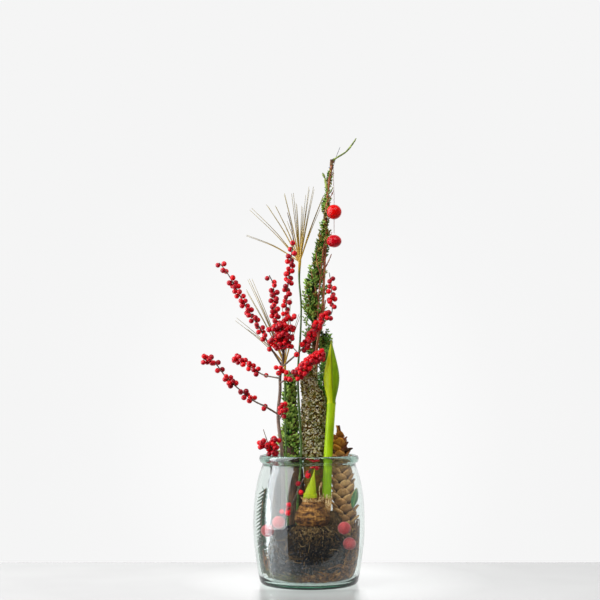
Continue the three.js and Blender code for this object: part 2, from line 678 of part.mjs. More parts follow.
// A plain round hole that follows a stem's lowest stretch, from under its foot.
function stemHole(route, radius, sides) {
  const foot = vec(...route[0]);
  const next = vec(...route[1]);
  const below = foot.clone().addScaledVector(next.clone().sub(foot).normalize(), -GAP);
  return stem([below.toArray(), foot.toArray(), next.toArray()], [radius, radius, radius], sides, 1);
}

buildJar();
buildSoil();
buildStraw();
buildAmaryllis();
buildCone();
buildLichenStick();
buildConiferColumn();
buildBark();
buildConiferSpire();
buildBackSprig();
buildNeedleFans();
buildHollyBranch();
buildSmallHollySprigs();
buildFirSprig();
buildLeaf();
buildJarBaubles();
buildHangingBaubles();
buildBindingWire();

export default group;
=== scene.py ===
import math
import random
from contextlib import contextmanager

import bmesh
import bpy
from mathutils import Matrix, Quaternion, Vector, noise


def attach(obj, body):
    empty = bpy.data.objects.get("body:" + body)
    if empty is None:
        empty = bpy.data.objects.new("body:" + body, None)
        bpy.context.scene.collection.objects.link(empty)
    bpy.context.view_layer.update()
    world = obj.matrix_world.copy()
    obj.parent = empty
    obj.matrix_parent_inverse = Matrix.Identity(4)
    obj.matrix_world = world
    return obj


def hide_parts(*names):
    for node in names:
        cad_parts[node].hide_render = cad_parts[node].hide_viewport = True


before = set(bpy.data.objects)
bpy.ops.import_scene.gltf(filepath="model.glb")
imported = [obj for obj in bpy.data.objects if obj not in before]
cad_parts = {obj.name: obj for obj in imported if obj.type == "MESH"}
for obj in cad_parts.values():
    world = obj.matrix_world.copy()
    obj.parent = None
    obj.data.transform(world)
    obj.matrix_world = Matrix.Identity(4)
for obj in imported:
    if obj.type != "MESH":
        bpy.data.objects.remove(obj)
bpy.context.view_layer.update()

mm = 0.001
goldenAngle = math.pi * (3 - math.sqrt(5))

studio = {
    "cameraAt": (-0.0137, -1.971, 0.286),
    "tiltUp": 4.187,  # degrees
    "lens": 77.04,
    "lightsAim": (0, 0, 0.28),
    "lights": [  # name, place, size, power, and whether it shows in reflections only
        ("keyWindow", (-1.262, -0.386, 0.88), (1.58, 2.2), 37, False),
        ("keyPane", (-1.262, -0.386, 0.5), (1.58, 2.96), 40, True),
        ("keyStrip", (-1.19, 0.0, 0.5), (0.44, 2.2), 15, True),  # its brighter edge
        ("topSoft", (0.4, -1.15, 1.75), (1.1, 1.1), 20, False),
    ],
    "paneColour": (0.86, 0.94, 1.0),
    "sky": {"front": 0.07, "back": 0.62, "seen": 0.915},
    "tableWide": 1.14,
    "tableFront": -0.166,
    "tableBack": 0.247,
    "tableThick": 0.025,
    "tableEdge": 0.002,
    "glow": {"at": (0.04, 0.04), "reach": 0.5},  # of the table: painted glow, its emission standing in for light from below
    "jarShade": {"wide": (0.084, 0.066), "deep": (-0.05, -0.075)},
    "backdropAt": (0, 3.4, 1.2),
    "backdropSize": 9,
    "halo": {"at": (0.02, 0.10), "flat": 0.85, "reach": 2.0},  # of the backdrop
}


def deselectAll():
    if bpy.context.mode != "OBJECT":
        bpy.ops.object.mode_set(mode="OBJECT")
    bpy.ops.object.select_all(action="DESELECT")


def makeActive(piece):
    deselectAll()
    piece.select_set(True)
    bpy.context.view_layer.objects.active = piece


def added(name, data):
    piece = bpy.data.objects.new(name, data)
    bpy.context.collection.objects.link(piece)
    return piece


def addShape(primitive, name, **settings):
    deselectAll()
    primitive(**settings)
    piece = bpy.context.active_object
    piece.name = piece.data.name = name
    return piece


def addLight(name, at, size, power, reflectedOnly):
    light = bpy.data.lights.new(name, "AREA")
    light.shape = "RECTANGLE"
    light.size, light.size_y = size
    light.energy = power
    lamp = added(name, light)
    lamp.location = at
    lamp.rotation_euler = (Vector(studio["lightsAim"]) - Vector(at)).to_track_quat("-Z", "Y").to_euler()
    if reflectedOnly:
        lamp.visible_diffuse = lamp.visible_transmission = False
        light.color = studio["paneColour"]


def makeStudio():
    camera = added("camera", bpy.data.cameras.new("camera"))
    camera.location = studio["cameraAt"]
    camera.rotation_euler = (math.radians(90 + studio["tiltUp"]), 0, 0)
    camera.data.lens = studio["lens"]
    bpy.context.scene.camera = camera
    bpy.context.scene.view_settings.view_transform = "Standard"
    for light in studio["lights"]:
        addLight(*light)
    makeSky()


def colour(code):
    # "#rrggbb" as the eye sees it, turned into linear light
    parts = [int(code[i:i + 2], 16) / 255 for i in (1, 3, 5)]
    return (*[p / 12.92 if p <= 0.04045 else ((p + 0.055) / 1.055) ** 2.4 for p in parts], 1)


class Value:
    # a node's output that takes part in sums
    def __init__(self, nodes, socket):
        self.nodes, self.socket = nodes, socket

    def __add__(self, other):
        return self.nodes.math("ADD", self, other)

    def __sub__(self, other):
        return self.nodes.math("SUBTRACT", self, other)

    def __rsub__(self, other):
        return self.nodes.math("SUBTRACT", other, self)

    def __mul__(self, other):
        return self.nodes.math("MULTIPLY", self, other)

    def __truediv__(self, other):
        return self.nodes.math("DIVIDE", self, other)

    def __pow__(self, other):
        return self.nodes.math("POWER", self, other)

    __radd__ = __add__
    __rmul__ = __mul__


class Nodes:
    # a node tree; each node it makes comes back as a value
    def __init__(self, tree):
        self.tree = tree

    def feed(self, socket, value):
        if isinstance(value, Value):
            self.tree.links.new(value.socket, socket)
        else:
            socket.default_value = value

    def node(self, kind, settings=None, inputs=None, output=0):
        made = self.tree.nodes.new("ShaderNode" + kind)
        for key, value in (settings or {}).items():
            if key == "stops":
                ramp = made.color_ramp
                while len(ramp.elements) < len(value):
                    ramp.elements.new(0.5)
                for element, (spot, shade) in zip(ramp.elements, value):
                    element.position, element.color = spot, shade
            else:
                setattr(made, key, value)
        for socket, value in (inputs or {}).items():
            self.feed(made.inputs[socket], value)
        return Value(self, made.outputs[output])

    def math(self, operation, first, second):
        return self.node("Math", {"operation": operation}, {0: first, 1: second})


class Finish(Nodes):
    # one procedural material; its patterns read Object coordinates in metres
    def __init__(self, name, roughness, **sockets):
        self.material = bpy.data.materials.new(name)
        self.material.use_nodes = True
        super().__init__(self.material.node_tree)
        self.shader = self.tree.nodes["Principled BSDF"]
        self.set(Roughness=roughness, **sockets)
        self.place = self.node("TexCoord", output="Object")

    def set(self, **sockets):
        for socket, value in sockets.items():
            self.feed(self.shader.inputs[socket.replace("_", " ")], value)

    def noise(self, size, detail=3, roughness=0.55, stretch=(1, 1, 1), shift=(0, 0, 0)):
        # cloudy value whose lumps are about `size` metres wide
        where = self.node("Mapping", None, {"Vector": self.place, "Scale": stretch, "Location": shift})
        return self.node("TexNoise", None, {
            "Vector": where, "Scale": 1 / size, "Detail": detail, "Roughness": roughness})

    def ramp(self, value, *stops):
        stops = [(spot, colour(code)) for spot, code in stops]
        return self.node("ValToRGB", {"stops": stops}, {0: value})

    def between(self, value, low, high):
        # 0 at low and beyond, 1 at high and beyond
        return self.node("MapRange", None, {"Value": value, "From Min": low, "From Max": high})

    def span(self, letter, low, high):
        return self.between(self.axis(letter), low, high)

    def mix(self, share, first, second):
        first = colour(first) if isinstance(first, str) else first
        second = colour(second) if isinstance(second, str) else second
        return self.node("Mix", {"data_type": "RGBA"}, {0: share, 6: first, 7: second}, 2)

    def axis(self, letter):
        return self.node("SeparateXYZ", None, {0: self.place}, letter)

    def attribute(self, name):
        return self.node("Attribute", {"attribute_name": name}, None, "Fac")

    def bump(self, height, distance, strength=1.0):
        inputs = {"Height": height, "Distance": distance, "Strength": strength}
        self.set(Normal=self.node("Bump", None, inputs))


def grainFinish(name, roughness, grain, depth, *stops, **sockets):
    # one grain that runs through a row of shades
    f = Finish(name, roughness, **sockets)
    value = f.noise(*grain)
    f.set(Base_Color=f.ramp(value, *stops))
    f.bump(value, depth)
    return f


def makeSky():
    # pale all round where it is seen; what lights the object is dimmer towards the front
    world = bpy.data.worlds.new("paleSky")
    bpy.context.scene.world = world
    world.use_nodes = True
    sky = Nodes(world.node_tree)
    background = sky.tree.nodes["Background"].inputs
    sky.feed(background["Color"], (1, 1, 1, 1))
    ray = {name: sky.node("LightPath", output=name)
           for name in ("Is Camera Ray", "Is Transmission Ray", "Glossy Depth")}
    # direct is through the glass, with no bounce inside it
    direct = sky.math("GREATER_THAN", ray["Is Transmission Ray"], ray["Glossy Depth"])
    seen = sky.math("MAXIMUM", ray["Is Camera Ray"], direct)
    depth = sky.node("SeparateXYZ", None, {0: sky.node("TexCoord", output="Generated")}, "Y")
    light = studio["sky"]
    shade = sky.node("MapRange", None, {
        "Value": depth, "From Min": -1, "To Min": light["front"], "To Max": light["back"]})
    sky.feed(background["Strength"], sky.node("MapRange", None, {
        "Value": seen, "To Min": shade, "To Max": light["seen"]}))


def tableFinish():
    # a table with painted glow: its emission, brightest round the object, stands in for light from
    # below; a painted shadow and reflection darkens it in front of the jar
    f = Finish("paleTable", 0.16, Emission_Strength=1.0)
    light, shade = studio["glow"], studio["jarShade"]
    x, y = f.axis("X"), f.axis("Y")
    away = ((x - light["at"][0]) ** 2 + (y - light["at"][1]) ** 2) ** 0.5
    # painted shadow and reflection of the jar in front of it, in both the base colour and the glow
    paintedJarShadow = f.between((x ** 2) ** 0.5, *shade["wide"]) * f.between(y, *shade["deep"])
    pale = f.ramp(f.noise(0.25, 2), (0.3, "#b8b8b8"), (0.7, "#c2c2c2"))
    # painted glow: emission that is brightest round the object and falls off away from it
    glow = f.ramp(away / light["reach"], (0.0, "#9f9f9f"), (0.2, "#929292"), (0.35, "#787878"),
                  (0.48, "#565656"), (0.66, "#464646"), (1.0, "#404040"))
    f.set(Base_Color=f.mix(paintedJarShadow * 0.35, pale, "#8c908e"),
          Emission_Color=f.mix(paintedJarShadow * 0.5, glow, "#000000"))
    return f


def backdropFinish():
    # a soft glow behind the object that falls off to the sides
    f = Finish("backdropGlow", 1.0, Base_Color=(0, 0, 0, 1), Specular_IOR_Level=0,
               Emission_Strength=1.0)
    halo = studio["halo"]
    x, z = f.axis("X") - halo["at"][0], f.axis("Z") - halo["at"][1]
    away = (x ** 2 + (z * halo["flat"]) ** 2) ** 0.5
    f.set(Emission_Color=f.ramp(away / halo["reach"], (0.0, "#fdfdfd"), (0.2, "#fbfbfb"),
                                (0.42, "#f6f6f6"), (0.6, "#f5f5f5")))
    return f


def makeStage():
    front, back, thick = studio["tableFront"], studio["tableBack"], studio["tableThick"]
    table = addShape(bpy.ops.mesh.primitive_cube_add, "pale_table", size=1,
                     location=(0, (front + back) / 2, -thick / 2),
                     scale=(studio["tableWide"], back - front, thick))
    with editing(table):
        bpy.ops.mesh.bevel(offset=studio["tableEdge"], segments=3)
    backdrop = addShape(bpy.ops.mesh.primitive_plane_add, "backdrop", size=studio["backdropSize"],
                        location=studio["backdropAt"], rotation=(math.radians(90), 0, 0))
    for piece, finish in ((table, tableFinish()), (backdrop, backdropFinish())):
        makeActive(piece)
        bpy.ops.object.transform_apply(location=True, rotation=True, scale=True)
        wear(piece, finish)


@contextmanager
def editing(piece, kind="faces", test=None):
    # edit mode, with everything picked or only what passes the test
    makeActive(piece)
    bpy.ops.object.mode_set(mode="EDIT")
    bpy.ops.mesh.select_all(action="DESELECT" if test else "SELECT")
    if test:
        for part in getattr(bmesh.from_edit_mesh(piece.data), kind):
            part.select = test(part)
        bmesh.update_edit_mesh(piece.data)
    yield
    bpy.ops.object.mode_set(mode="OBJECT")


def closeUp(piece, merge=True):
    # merges double points and turns the faces outwards
    with editing(piece):
        if merge:
            bpy.ops.mesh.remove_doubles(threshold=0.00002)
        bpy.ops.mesh.normals_make_consistent(inside=False)


def shadeSmooth(piece):
    makeActive(piece)
    bpy.ops.object.shade_smooth()


def station(values, share):
    # a value from a list of stations, read at a share of its length
    slot = min(max(share, 0), 1) * (len(values) - 1)
    low = min(int(slot), len(values) - 2)
    return values[low] + (values[low + 1] - values[low]) * (slot - low)


def pairs(rows, at):
    # the second number of a list of pairs, read at the first
    for (low, a), (high, b) in zip(rows, rows[1:]):
        if at <= high:
            return a + (b - a) * max(at - low, 0) / (high - low)
    return rows[-1][1]


class Path:
    # a smooth route through points given in millimetres, kept in metres
    def __init__(self, route, perSpan=8):
        knots = [Vector(p) * mm for p in route]
        knots = [knots[0] * 2 - knots[1], *knots, knots[-1] * 2 - knots[-2]]
        self.points = []
        for a, b, c, d in zip(knots, knots[1:], knots[2:], knots[3:]):
            before, inside, after = [(q - p).length ** 0.5 for p, q in ((a, b), (b, c), (c, d))]
            leave = ((b - a) / before - (c - a) / (before + inside) + (c - b) / inside) * inside
            arrive = ((c - b) / inside - (d - b) / (inside + after) + (d - c) / after) * inside
            for t in (step / perSpan for step in range(perSpan)):
                self.points.append(
                    b * (2 * t ** 3 - 3 * t ** 2 + 1) + leave * (t ** 3 - 2 * t ** 2 + t)
                    + c * (3 * t ** 2 - 2 * t ** 3) + arrive * (t ** 3 - t ** 2))
        self.points.append(knots[-2])
        self.reach = [0]
        for p, q in zip(self.points, self.points[1:]):
            self.reach.append(self.reach[-1] + (q - p).length)

    def at(self, share):
        # the point and the direction at a share of the length
        goal = min(max(share, 0), 1) * self.reach[-1]
        i = next((k for k in range(1, len(self.reach)) if self.reach[k] >= goal), len(self.reach) - 1)
        p, q = self.points[i - 1], self.points[i]
        part = (goal - self.reach[i - 1]) / max(self.reach[i] - self.reach[i - 1], 1e-9)
        return p.lerp(q, part), (q - p).normalized()


def sideways(direction, turn):
    # a unit vector square to a direction, turned round it
    side = Vector((1, 0, 0.2)).cross(direction).normalized()
    side.rotate(Quaternion(direction, turn))
    return side


def anyWay(rand):
    return Vector((rand.uniform(-1, 1), rand.uniform(-1, 1), rand.uniform(-1, 1)))


def roundAbout(centre, radius, turn, height):
    # a point on a circle, from millimetres
    x, y = centre[0] + radius * math.cos(turn), centre[1] + radius * math.sin(turn)
    return Vector((x, y, height)) * mm


def framed(root, along, outward, size=1.0):
    # puts a template's +Z along a direction and its +Y outward
    z = along.normalized()
    y = (outward - z * outward.dot(z)).normalized()
    turn = Matrix((y.cross(z), y, z)).transposed().to_4x4()
    return Matrix.Translation(root) @ turn @ Matrix.Scale(size, 4)


def wear(piece, finish):
    piece.data.materials.clear()
    piece.data.materials.append(finish.material)
    return piece


def tubes(name, runs, sides, finish=None):
    # round stems along many routes: one bevelled curve turned into one mesh
    curve = bpy.data.curves.new(name, "CURVE")
    curve.dimensions = "3D"
    curve.bevel_depth = 1
    curve.bevel_resolution = (sides - 4) // 2
    curve.use_fill_caps = True
    for points, radii in runs:
        spline = curve.splines.new("POLY")
        spline.points.add(len(points) - 1)
        for i, (knot, point) in enumerate(zip(spline.points, points)):
            knot.co = (*point, 1)
            knot.radius = station(radii, i / (len(points) - 1)) * mm
    makeActive(added(name, curve))
    bpy.ops.object.convert(target="MESH")
    piece = bpy.context.active_object
    closeUp(piece)
    bpy.ops.object.shade_smooth_by_angle(angle=math.radians(50))
    return wear(piece, finish) if finish else piece


def stem(name, part, perSpan, sides, finish=None, thick=1):
    return tubes(name, [(Path(part["route"], perSpan).points, [r * thick for r in part["radii"]])],
                 sides, finish)


def lathe(name, rows, steps, centre=(0, 0, 0)):
    # an outline of (radius, height) in millimetres, spun round the upright axis
    mesh = bpy.data.meshes.new(name)
    outline = [(radius * mm, 0, z * mm) for radius, z in rows]
    mesh.from_pydata(outline, [(i, i + 1) for i in range(len(outline) - 1)], [])
    piece = added(name, mesh)
    with editing(piece):
        bpy.ops.mesh.spin(steps=steps, angle=math.tau, center=(0, 0, 0), axis=(0, 0, 1))
    closeUp(piece)
    shadeSmooth(piece)
    mesh.transform(Matrix.Translation(Vector(centre) * mm))
    return piece


def addBall(name, radius, segments, rings):
    return addShape(bpy.ops.mesh.primitive_uv_sphere_add, name, segments=segments, ring_count=rings,
                    radius=radius * mm)


def applyModifier(piece, kind, **settings):
    makeActive(piece)
    modifier = piece.modifiers.new(kind.lower(), kind)
    for key, value in settings.items():
        setattr(modifier, key, value)
    bpy.ops.object.modifier_apply(modifier=modifier.name)


def soften(piece):
    applyModifier(piece, "SUBSURF", levels=1, render_levels=1)


def thicken(piece, thickness):
    applyModifier(piece, "SOLIDIFY", thickness=thickness, offset=0)


def roughen(piece, lumps, height, detail=2, seed=0, upright=1):
    # lumps pushed in and out of a surface by a cloud pattern, drawn out upwards into ridges
    cloud = bpy.data.textures.new(piece.name + "Lumps", "CLOUDS")
    cloud.noise_scale = lumps * mm
    cloud.noise_depth = detail
    piece.data.transform(Matrix.Diagonal((1, 1, 1 / upright, 1)) @ Matrix.Translation((seed, 0, 0)))
    applyModifier(piece, "DISPLACE", texture=cloud, strength=height * mm, mid_level=0.5,
                  texture_coords="LOCAL")
    piece.data.transform(Matrix.Translation((-seed, 0, 0)) @ Matrix.Diagonal((1, 1, upright, 1)))


def setLayer(piece, name, values):
    # one number for each point, or the same for all, which a material reads
    mesh = piece.data
    layer = mesh.attributes.get(name) or mesh.attributes.new(name, "FLOAT", "POINT")
    values = values if isinstance(values, list) else [values] * len(mesh.vertices)
    layer.data.foreach_set("value", values)


def copies(name, template, spots, finish):
    # a copy of the template's mesh at each spot, joined into one piece
    parts = []
    for matrix, tone in spots:
        copy = added(name, template.data.copy())
        copy.data.transform(matrix)
        setLayer(copy, "tone", tone)
        parts.append(copy)
    return wear(joined(name, *reversed(parts)), finish)


def joined(name, *parts):
    makeActive(parts[0])
    for part in parts:
        part.select_set(True)
    bpy.ops.object.join()
    piece = bpy.context.active_object
    piece.name = piece.data.name = name
    return piece


def place(piece, slot, *nodes):
    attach(piece, "root")
    if nodes:
        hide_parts(*nodes)


makeStudio()
makeStage()
print("studio ready")

thread = {
    "route": [(0.039, 0.001, 0.5335), (0.039, 0.001, 0.567), (0.039, 0.001, 0.594),
              (0.0386, 0.002, 0.606), (0.0381, 0.0048, 0.638)],
    "radius": 0.45,
}
hangingBaubles = {
    "radius": 11.6,
    "flatEnd": 0.975,  # share of the height where the thread goes in
    "upper": {"node": "bauble_hanging_upper", "at": (39, 1, 567), "squash": 0.98,
              "dark": "#d40202", "light": "#f20604"},
    "lower": {"node": "bauble_hanging_lower", "at": (39, 1, 521.5), "squash": 0.84,
              "dark": "#ba0014", "light": "#de0420"},
}


def glossBaubleFinish(part, name):
    # lacquer over a faintly crackled red, paler dust on top
    f = Finish(name, 0.2, Coat_Weight=0.04, Coat_Roughness=0.12, Specular_IOR_Level=0.2)
    cloud = f.noise(0.006, 3)
    fine = f.noise(0.0012, 2)
    shade = f.ramp(cloud, (0.3, part["dark"]), (0.7, part["light"]))
    f.set(Base_Color=f.mix(f.between(fine, 0.64, 0.8) * 0.35, shade, "#f03a3c"),
          Roughness=0.16 + cloud * 0.16)
    f.bump(fine, 0.00012)
    return f


def makeGlossBauble(key):
    part = hangingBaubles[key]
    radius = hangingBaubles["radius"]
    ball = addBall("bead_" + key, radius, 40, 24)
    ball.data.transform(Matrix.Diagonal((1, 1, part["squash"], 1)))
    end = radius * part["squash"] * mm * hangingBaubles["flatEnd"]
    with editing(ball, "faces", lambda face: abs(face.calc_center_median().z) > end):
        bpy.ops.mesh.inset(thickness=0.0004, depth=-0.0008)
    shadeSmooth(ball)
    ball.data.transform(Matrix.Translation(Vector(part["at"]) * mm))
    roughen(ball, 9, 0.35, 1)
    wear(ball, glossBaubleFinish(part, key + "BaubleLacquer"))
    place(ball, "bauble_gloss", part["node"])
    return ball


def makeThread():
    fibre = grainFinish("threadFibre", 0.75, (0.0008, 2, 0.5, (1, 1, 0.35)), 0.0003,
                        (0.3, "#7d5a54"), (0.6, "#a8928a"), (0.8, "#cdbfb6"))
    path = Path([Vector(p) / mm for p in thread["route"]], 8)
    cord = tubes("bauble_cord", [(path.points, [thread["radius"]] * 2)], 8, fibre)
    place(cord, "thread", "bauble_thread")
    balls = [makeGlossBauble("upper"), makeGlossBauble("lower")]


makeThread()
print("thread and hanging baubles ready")

jar = {
    "underside": [(0, 1.2), (30, 1.0), (60, 0.6)],
    "outside": [(66, 0), (70.5, 0.4), (73.0, 1.9), (74.6, 5), (76.2, 12), (79.0, 28), (81.2, 43),
                (83.2, 60), (84.3, 76), (84.6, 92), (84.2, 108), (83.2, 124), (81.8, 138),
                (79.6, 150), (77.2, 160.5), (74.0, 171), (71.8, 176.4), (70.9, 179.6), (71.6, 181.4),
                (74.2, 182.8), (75.5, 185.2), (75.9, 188.2), (75.4, 191), (74.0, 193),
                (71.8, 193.7), (69.6, 193), (68.0, 190.8), (67.2, 185.5), (67.3, 179)],
    "wall": 3.6,
    "walled": slice(5, 16),  # the rows of the outside that have a wall of even thickness
    "insideFoot": [(74.7, 24), (73.4, 15), (72.0, 10.4), (69.2, 7.4), (62, 6.2), (30, 6.4), (0, 6.6)],
    "steps": 128,
    "clearance": 0.4,
    "floor": 7.0,
    "mouth": 190,
    "bead": (0.175, 0.181),  # heights between which the clear wall turns into the rim's colour
    "shadow": (0.93, 0.97, 0.95, 1),
    "depthColour": (0.64, 0.815, 0.745, 1),
    "depthDensity": 54,
}


def glassFinish():
    f = Finish("greenishGlass", 0.0, Transmission_Weight=1.0, IOR=1.5, Specular_IOR_Level=0.52)
    f.set(Base_Color=f.mix(f.span("Z", *jar["bead"]), "#ffffff", "#c3d2ca"))
    f.bump(f.noise(0.03, 2, 0.5, (1, 1, 0.6)), 0.0006, 0.25)
    clear = f.node("BsdfTransparent", None, {"Color": jar["shadow"]})
    glass = f.node("MixShader", None, {0: f.node("LightPath", output="Is Shadow Ray"),
                                       1: Value(f, f.shader.outputs[0]), 2: clear})
    tint = f.node("VolumeAbsorption", None, {
        "Color": jar["depthColour"], "Density": jar["depthDensity"]})
    output = f.tree.nodes["Material Output"].inputs
    f.feed(output["Surface"], glass)
    f.feed(output["Volume"], tint)
    return f


def makeJar():
    inner = [(radius - jar["wall"], z) for radius, z in reversed(jar["outside"][jar["walled"]])]
    rows = [*jar["underside"], *jar["outside"], *inner, *jar["insideFoot"]]
    glass = wear(lathe("jar_glass", rows, jar["steps"]), glassFinish())
    place(glass, "glass", "glass_jar")


def keepInJar(piece):
    # draws back what would reach into the glass
    foot = [(z, radius) for radius, z in reversed(jar["insideFoot"][:4])]
    side = [(z, radius - jar["wall"]) for radius, z in jar["outside"][jar["walled"]]]
    neck = [(z, radius) for radius, z in reversed(jar["outside"][-2:])]
    for vertex in piece.data.vertices:
        point = vertex.co
        if point.z > jar["mouth"] * mm:
            continue
        limit = (pairs(foot + side + neck, point.z / mm) - jar["clearance"]) * mm
        reach = math.hypot(point.x, point.y)
        if reach > limit:
            point.x *= limit / reach
            point.y *= limit / reach
        point.z = max(point.z, jar["floor"] * mm)
    return piece


makeJar()
print("jar ready")

# the root ball of peat, its root fibres, and straw between it and the glass

soil = {  # outlines are of height and radius
    "peat": {"centre": (0, 0), "lumps": 5.5, "outline": [
        (7.6, 50), (10, 57), (15, 60), (24, 61), (36, 61), (50, 61), (60, 59.5), (68, 56), (76, 50),
        (83, 40), (88, 27), (90, 12)]},
    "mound": {"centre": (4, -22), "lumps": 3, "outline": [
        (38, 35), (48, 39), (58, 41), (66, 40), (74, 37), (81, 32.5), (87, 26), (92, 18)]},
    "heap": {"centre": (35, -7), "lumps": 3, "outline": [  # between the bulb and the cone
        (70, 19), (84, 18), (95, 14.5), (104, 10), (110, 5)]},
    "steps": 96,
    "fade": {"at": (0.004, 0.096), "reach": (0.014, 0.034), "into": "#17161c"},
    "crumbs": 1300,
    "crumbRadius": 2.2,
    "lowest": 14,
    "fibres": [  # body, count, top, how far down and round they reach, thickness and tone
        ("peat", 420, 86, 34, 1.6, (0.22, 0.4), 0.3),
        ("peat", 26, 80, 26, 1.8, (0.4, 0.8), 0.95),
        ("mound", 320, 92, 17, 1.0, (0.22, 0.4), 0.3),
        ("mound", 230, 92, 9, 0.9, (0.25, 0.5), 0.62),
        ("mound", 60, 92, 8, 0.9, (0.3, 0.8), 1.0),
        ("peat", 240, 84, 34, 3.4, (0.25, 0.55), 0.45),
        ("heap", 110, 109, 16, 0.9, (0.25, 0.5), 0.5),
    ],
}
straw = {
    "strands": 360,
    "start": -2.1,
    "end": 2.1,
    "middle": 63.5,
    "base": 8.4,
    "heap": {"low": 17, "high": 60, "spread": 0.42},  # highest at the right, running out at both ends
    "upright": 16,  # a few stand up the wall at the left
    "uprightTurn": (-2.72, -2.5),
    "uprightTop": (34, 66),
    # the glass, at each height
    "wall": [(8, 61), (10, 65), (18, 68.5), (30, 71.5), (50, 75), (80, 77), (100, 77)],
}


def soilFinish(name, dark, middle, brown, grit, fade=None):
    # peat; where it fades, it turns darker away from a point at the top of the roots, towards the
    # near-black of the dark peat
    f = Finish(name, 0.9, Specular_IOR_Level=0.08)
    lumps = f.noise(0.010, 4, 0.65)
    fine = f.noise(0.003, 3, 0.75)
    base = f.ramp(lumps, (0.3, dark), (0.52, middle), (0.72, brown))
    shade = f.mix(f.between(fine, 0.55, 0.68), base, grit)
    if fade:
        x, z = f.axis("X") - fade["at"][0], f.axis("Z") - fade["at"][1]
        away = (x ** 2 + (z * 1.1) ** 2) ** 0.5 + (lumps - 0.5) * 0.06
        shade = f.mix(f.between(away, *fade["reach"]), shade, fade["into"])
    f.set(Base_Color=shade, Roughness=1.0 - fine * 0.3)
    f.bump(fine + lumps, 0.0014)
    return f


def rootFinish():
    f = Finish("rootFibre", 0.8, Specular_IOR_Level=0.15)
    shade = f.noise(0.005, 3, 0.6) * 0.6 + f.attribute("tone") * 0.4
    f.set(Base_Color=f.ramp(shade, (0.3, "#21170f"), (0.45, "#45321f"), (0.62, "#7a5c38"),
                            (0.82, "#b39468")))
    f.bump(f.noise(0.0009, 2), 0.0003)
    return f


def crumbTemplate():
    crumb = addShape(bpy.ops.mesh.primitive_ico_sphere_add, "crumb", subdivisions=1,
                     radius=soil["crumbRadius"] * mm)
    roughen(crumb, 2.5, 1.9, 1)
    return crumb


def onSoil(body, turn, height, out=0.0):
    return roundAbout(soil[body]["centre"], pairs(soil[body]["outline"], height) + out, turn, height)


def fibreRuns(rand, body, count, high, drop, front, thick):
    # short roots that hug the surface and wander over it, fewer the further down
    runs = []
    for _ in range(count):
        turn = rand.gauss(-1.5, front)
        height = max(high - abs(rand.gauss(0, drop)), soil["lowest"])
        heading = rand.uniform(0, math.tau)
        bend = rand.uniform(-0.5, 0.5)
        step = rand.uniform(1.6, 3.6)
        points = []
        for _ in range(7):
            points.append(onSoil(body, turn, height, 0.4 + rand.uniform(-0.5, 1.3)))
            heading += bend + rand.uniform(-0.35, 0.35)
            turn += math.cos(heading) * step / 44
            height = min(max(height + math.sin(heading) * step, soil["lowest"]), high)
        fat = 2.2 if rand.random() < 0.08 else 1
        runs.append((points, [rand.uniform(*thick) * fat, 0.25]))
    return runs


def makeSoilBody(name, *finish):
    outline = soil[name]["outline"]
    rows = [(0, outline[0][0]), *[(radius, z) for z, radius in outline], (0, outline[-1][0])]
    body = lathe(name, rows, soil["steps"], (*soil[name]["centre"], 0))
    soften(body)
    roughen(body, 15, soil[name]["lumps"], 3)
    roughen(body, 4, 1.6, 2, 0.3)
    return wear(body, soilFinish(*finish))


def makeSoil():
    rand = random.Random(11)
    bodies = [
        # the dark peat's near-black is partly its own colour and partly painted shade, for the shadow
        # it lies in inside the jar
        makeSoilBody("peat", "darkPeat", "#060609", "#101017", "#211f26", "#77757c"),
        makeSoilBody("mound", "rootPeat", "#1a110b", "#34241a", "#513b29", "#8d7250", soil["fade"]),
        makeSoilBody("heap", "heapPeat", "#20150d", "#43301f", "#66503a", "#97795a"),
    ]
    crumb = crumbTemplate()
    spots = []
    for i in range(soil["crumbs"]):
        turn = rand.uniform(-math.pi, math.pi)
        if i % 5 < 2:
            at = onSoil("peat", turn, rand.uniform(12, 89), rand.uniform(-1, 1))
        else:
            at = onSoil("mound", turn * 0.5 - 1.5, rand.uniform(48, 90), rand.uniform(-1, 1))
        turned = framed(at, anyWay(rand), Vector((0.3, 0.5, 1)), rand.uniform(0.3, 1.0))
        spots.append((turned, rand.random()))
    crumbs = copies("crumbs", crumb, spots,
                    soilFinish("peatCrumb", "#08080b", "#16141a", "#2a2222", "#77695a"))
    bpy.data.objects.remove(crumb)
    place(keepInJar(joined("soil_block", *bodies, crumbs)), "soil", "soil_root_ball")


def makeRoots():
    rand = random.Random(23)
    finish = rootFinish()
    batches = []
    for *batch, tone in soil["fibres"]:
        fibres = tubes("fibres", fibreRuns(rand, *batch), 4, finish)
        setLayer(fibres, "tone", tone)
        batches.append(fibres)
    place(joined("bulb_roots", *batches), "straw")


def strawFinish():
    f = Finish("dryStraw", 0.65, Specular_IOR_Level=0.2)
    streak = f.noise(0.006, 3, 0.6)
    fine = f.noise(0.0012, 2)
    shade = f.ramp(streak, (0.3, "#1c0f06"), (0.42, "#442610"), (0.54, "#7c4c1e"), (0.68, "#b88444"),
                   (0.82, "#dcc496"))
    low = f.span("X", 0.03, -0.01) * f.span("Z", 0.03, 0.02)
    mossy = f.span("X", -0.012, -0.034) * f.span("Z", 0.034, 0.018)
    shade = f.mix(mossy * 0.6, f.mix(low * 0.6, shade, "#1c150f"), "#44562c")
    f.set(Base_Color=f.mix(f.between(fine, 0.55, 0.7) * 0.5, shade, "#4a3018"))
    f.bump(fine, 0.0004)
    return f


def strawHeight(turn):
    heap = straw["heap"]
    return heap["low"] + heap["high"] * math.exp(-(turn ** 2) / heap["spread"])


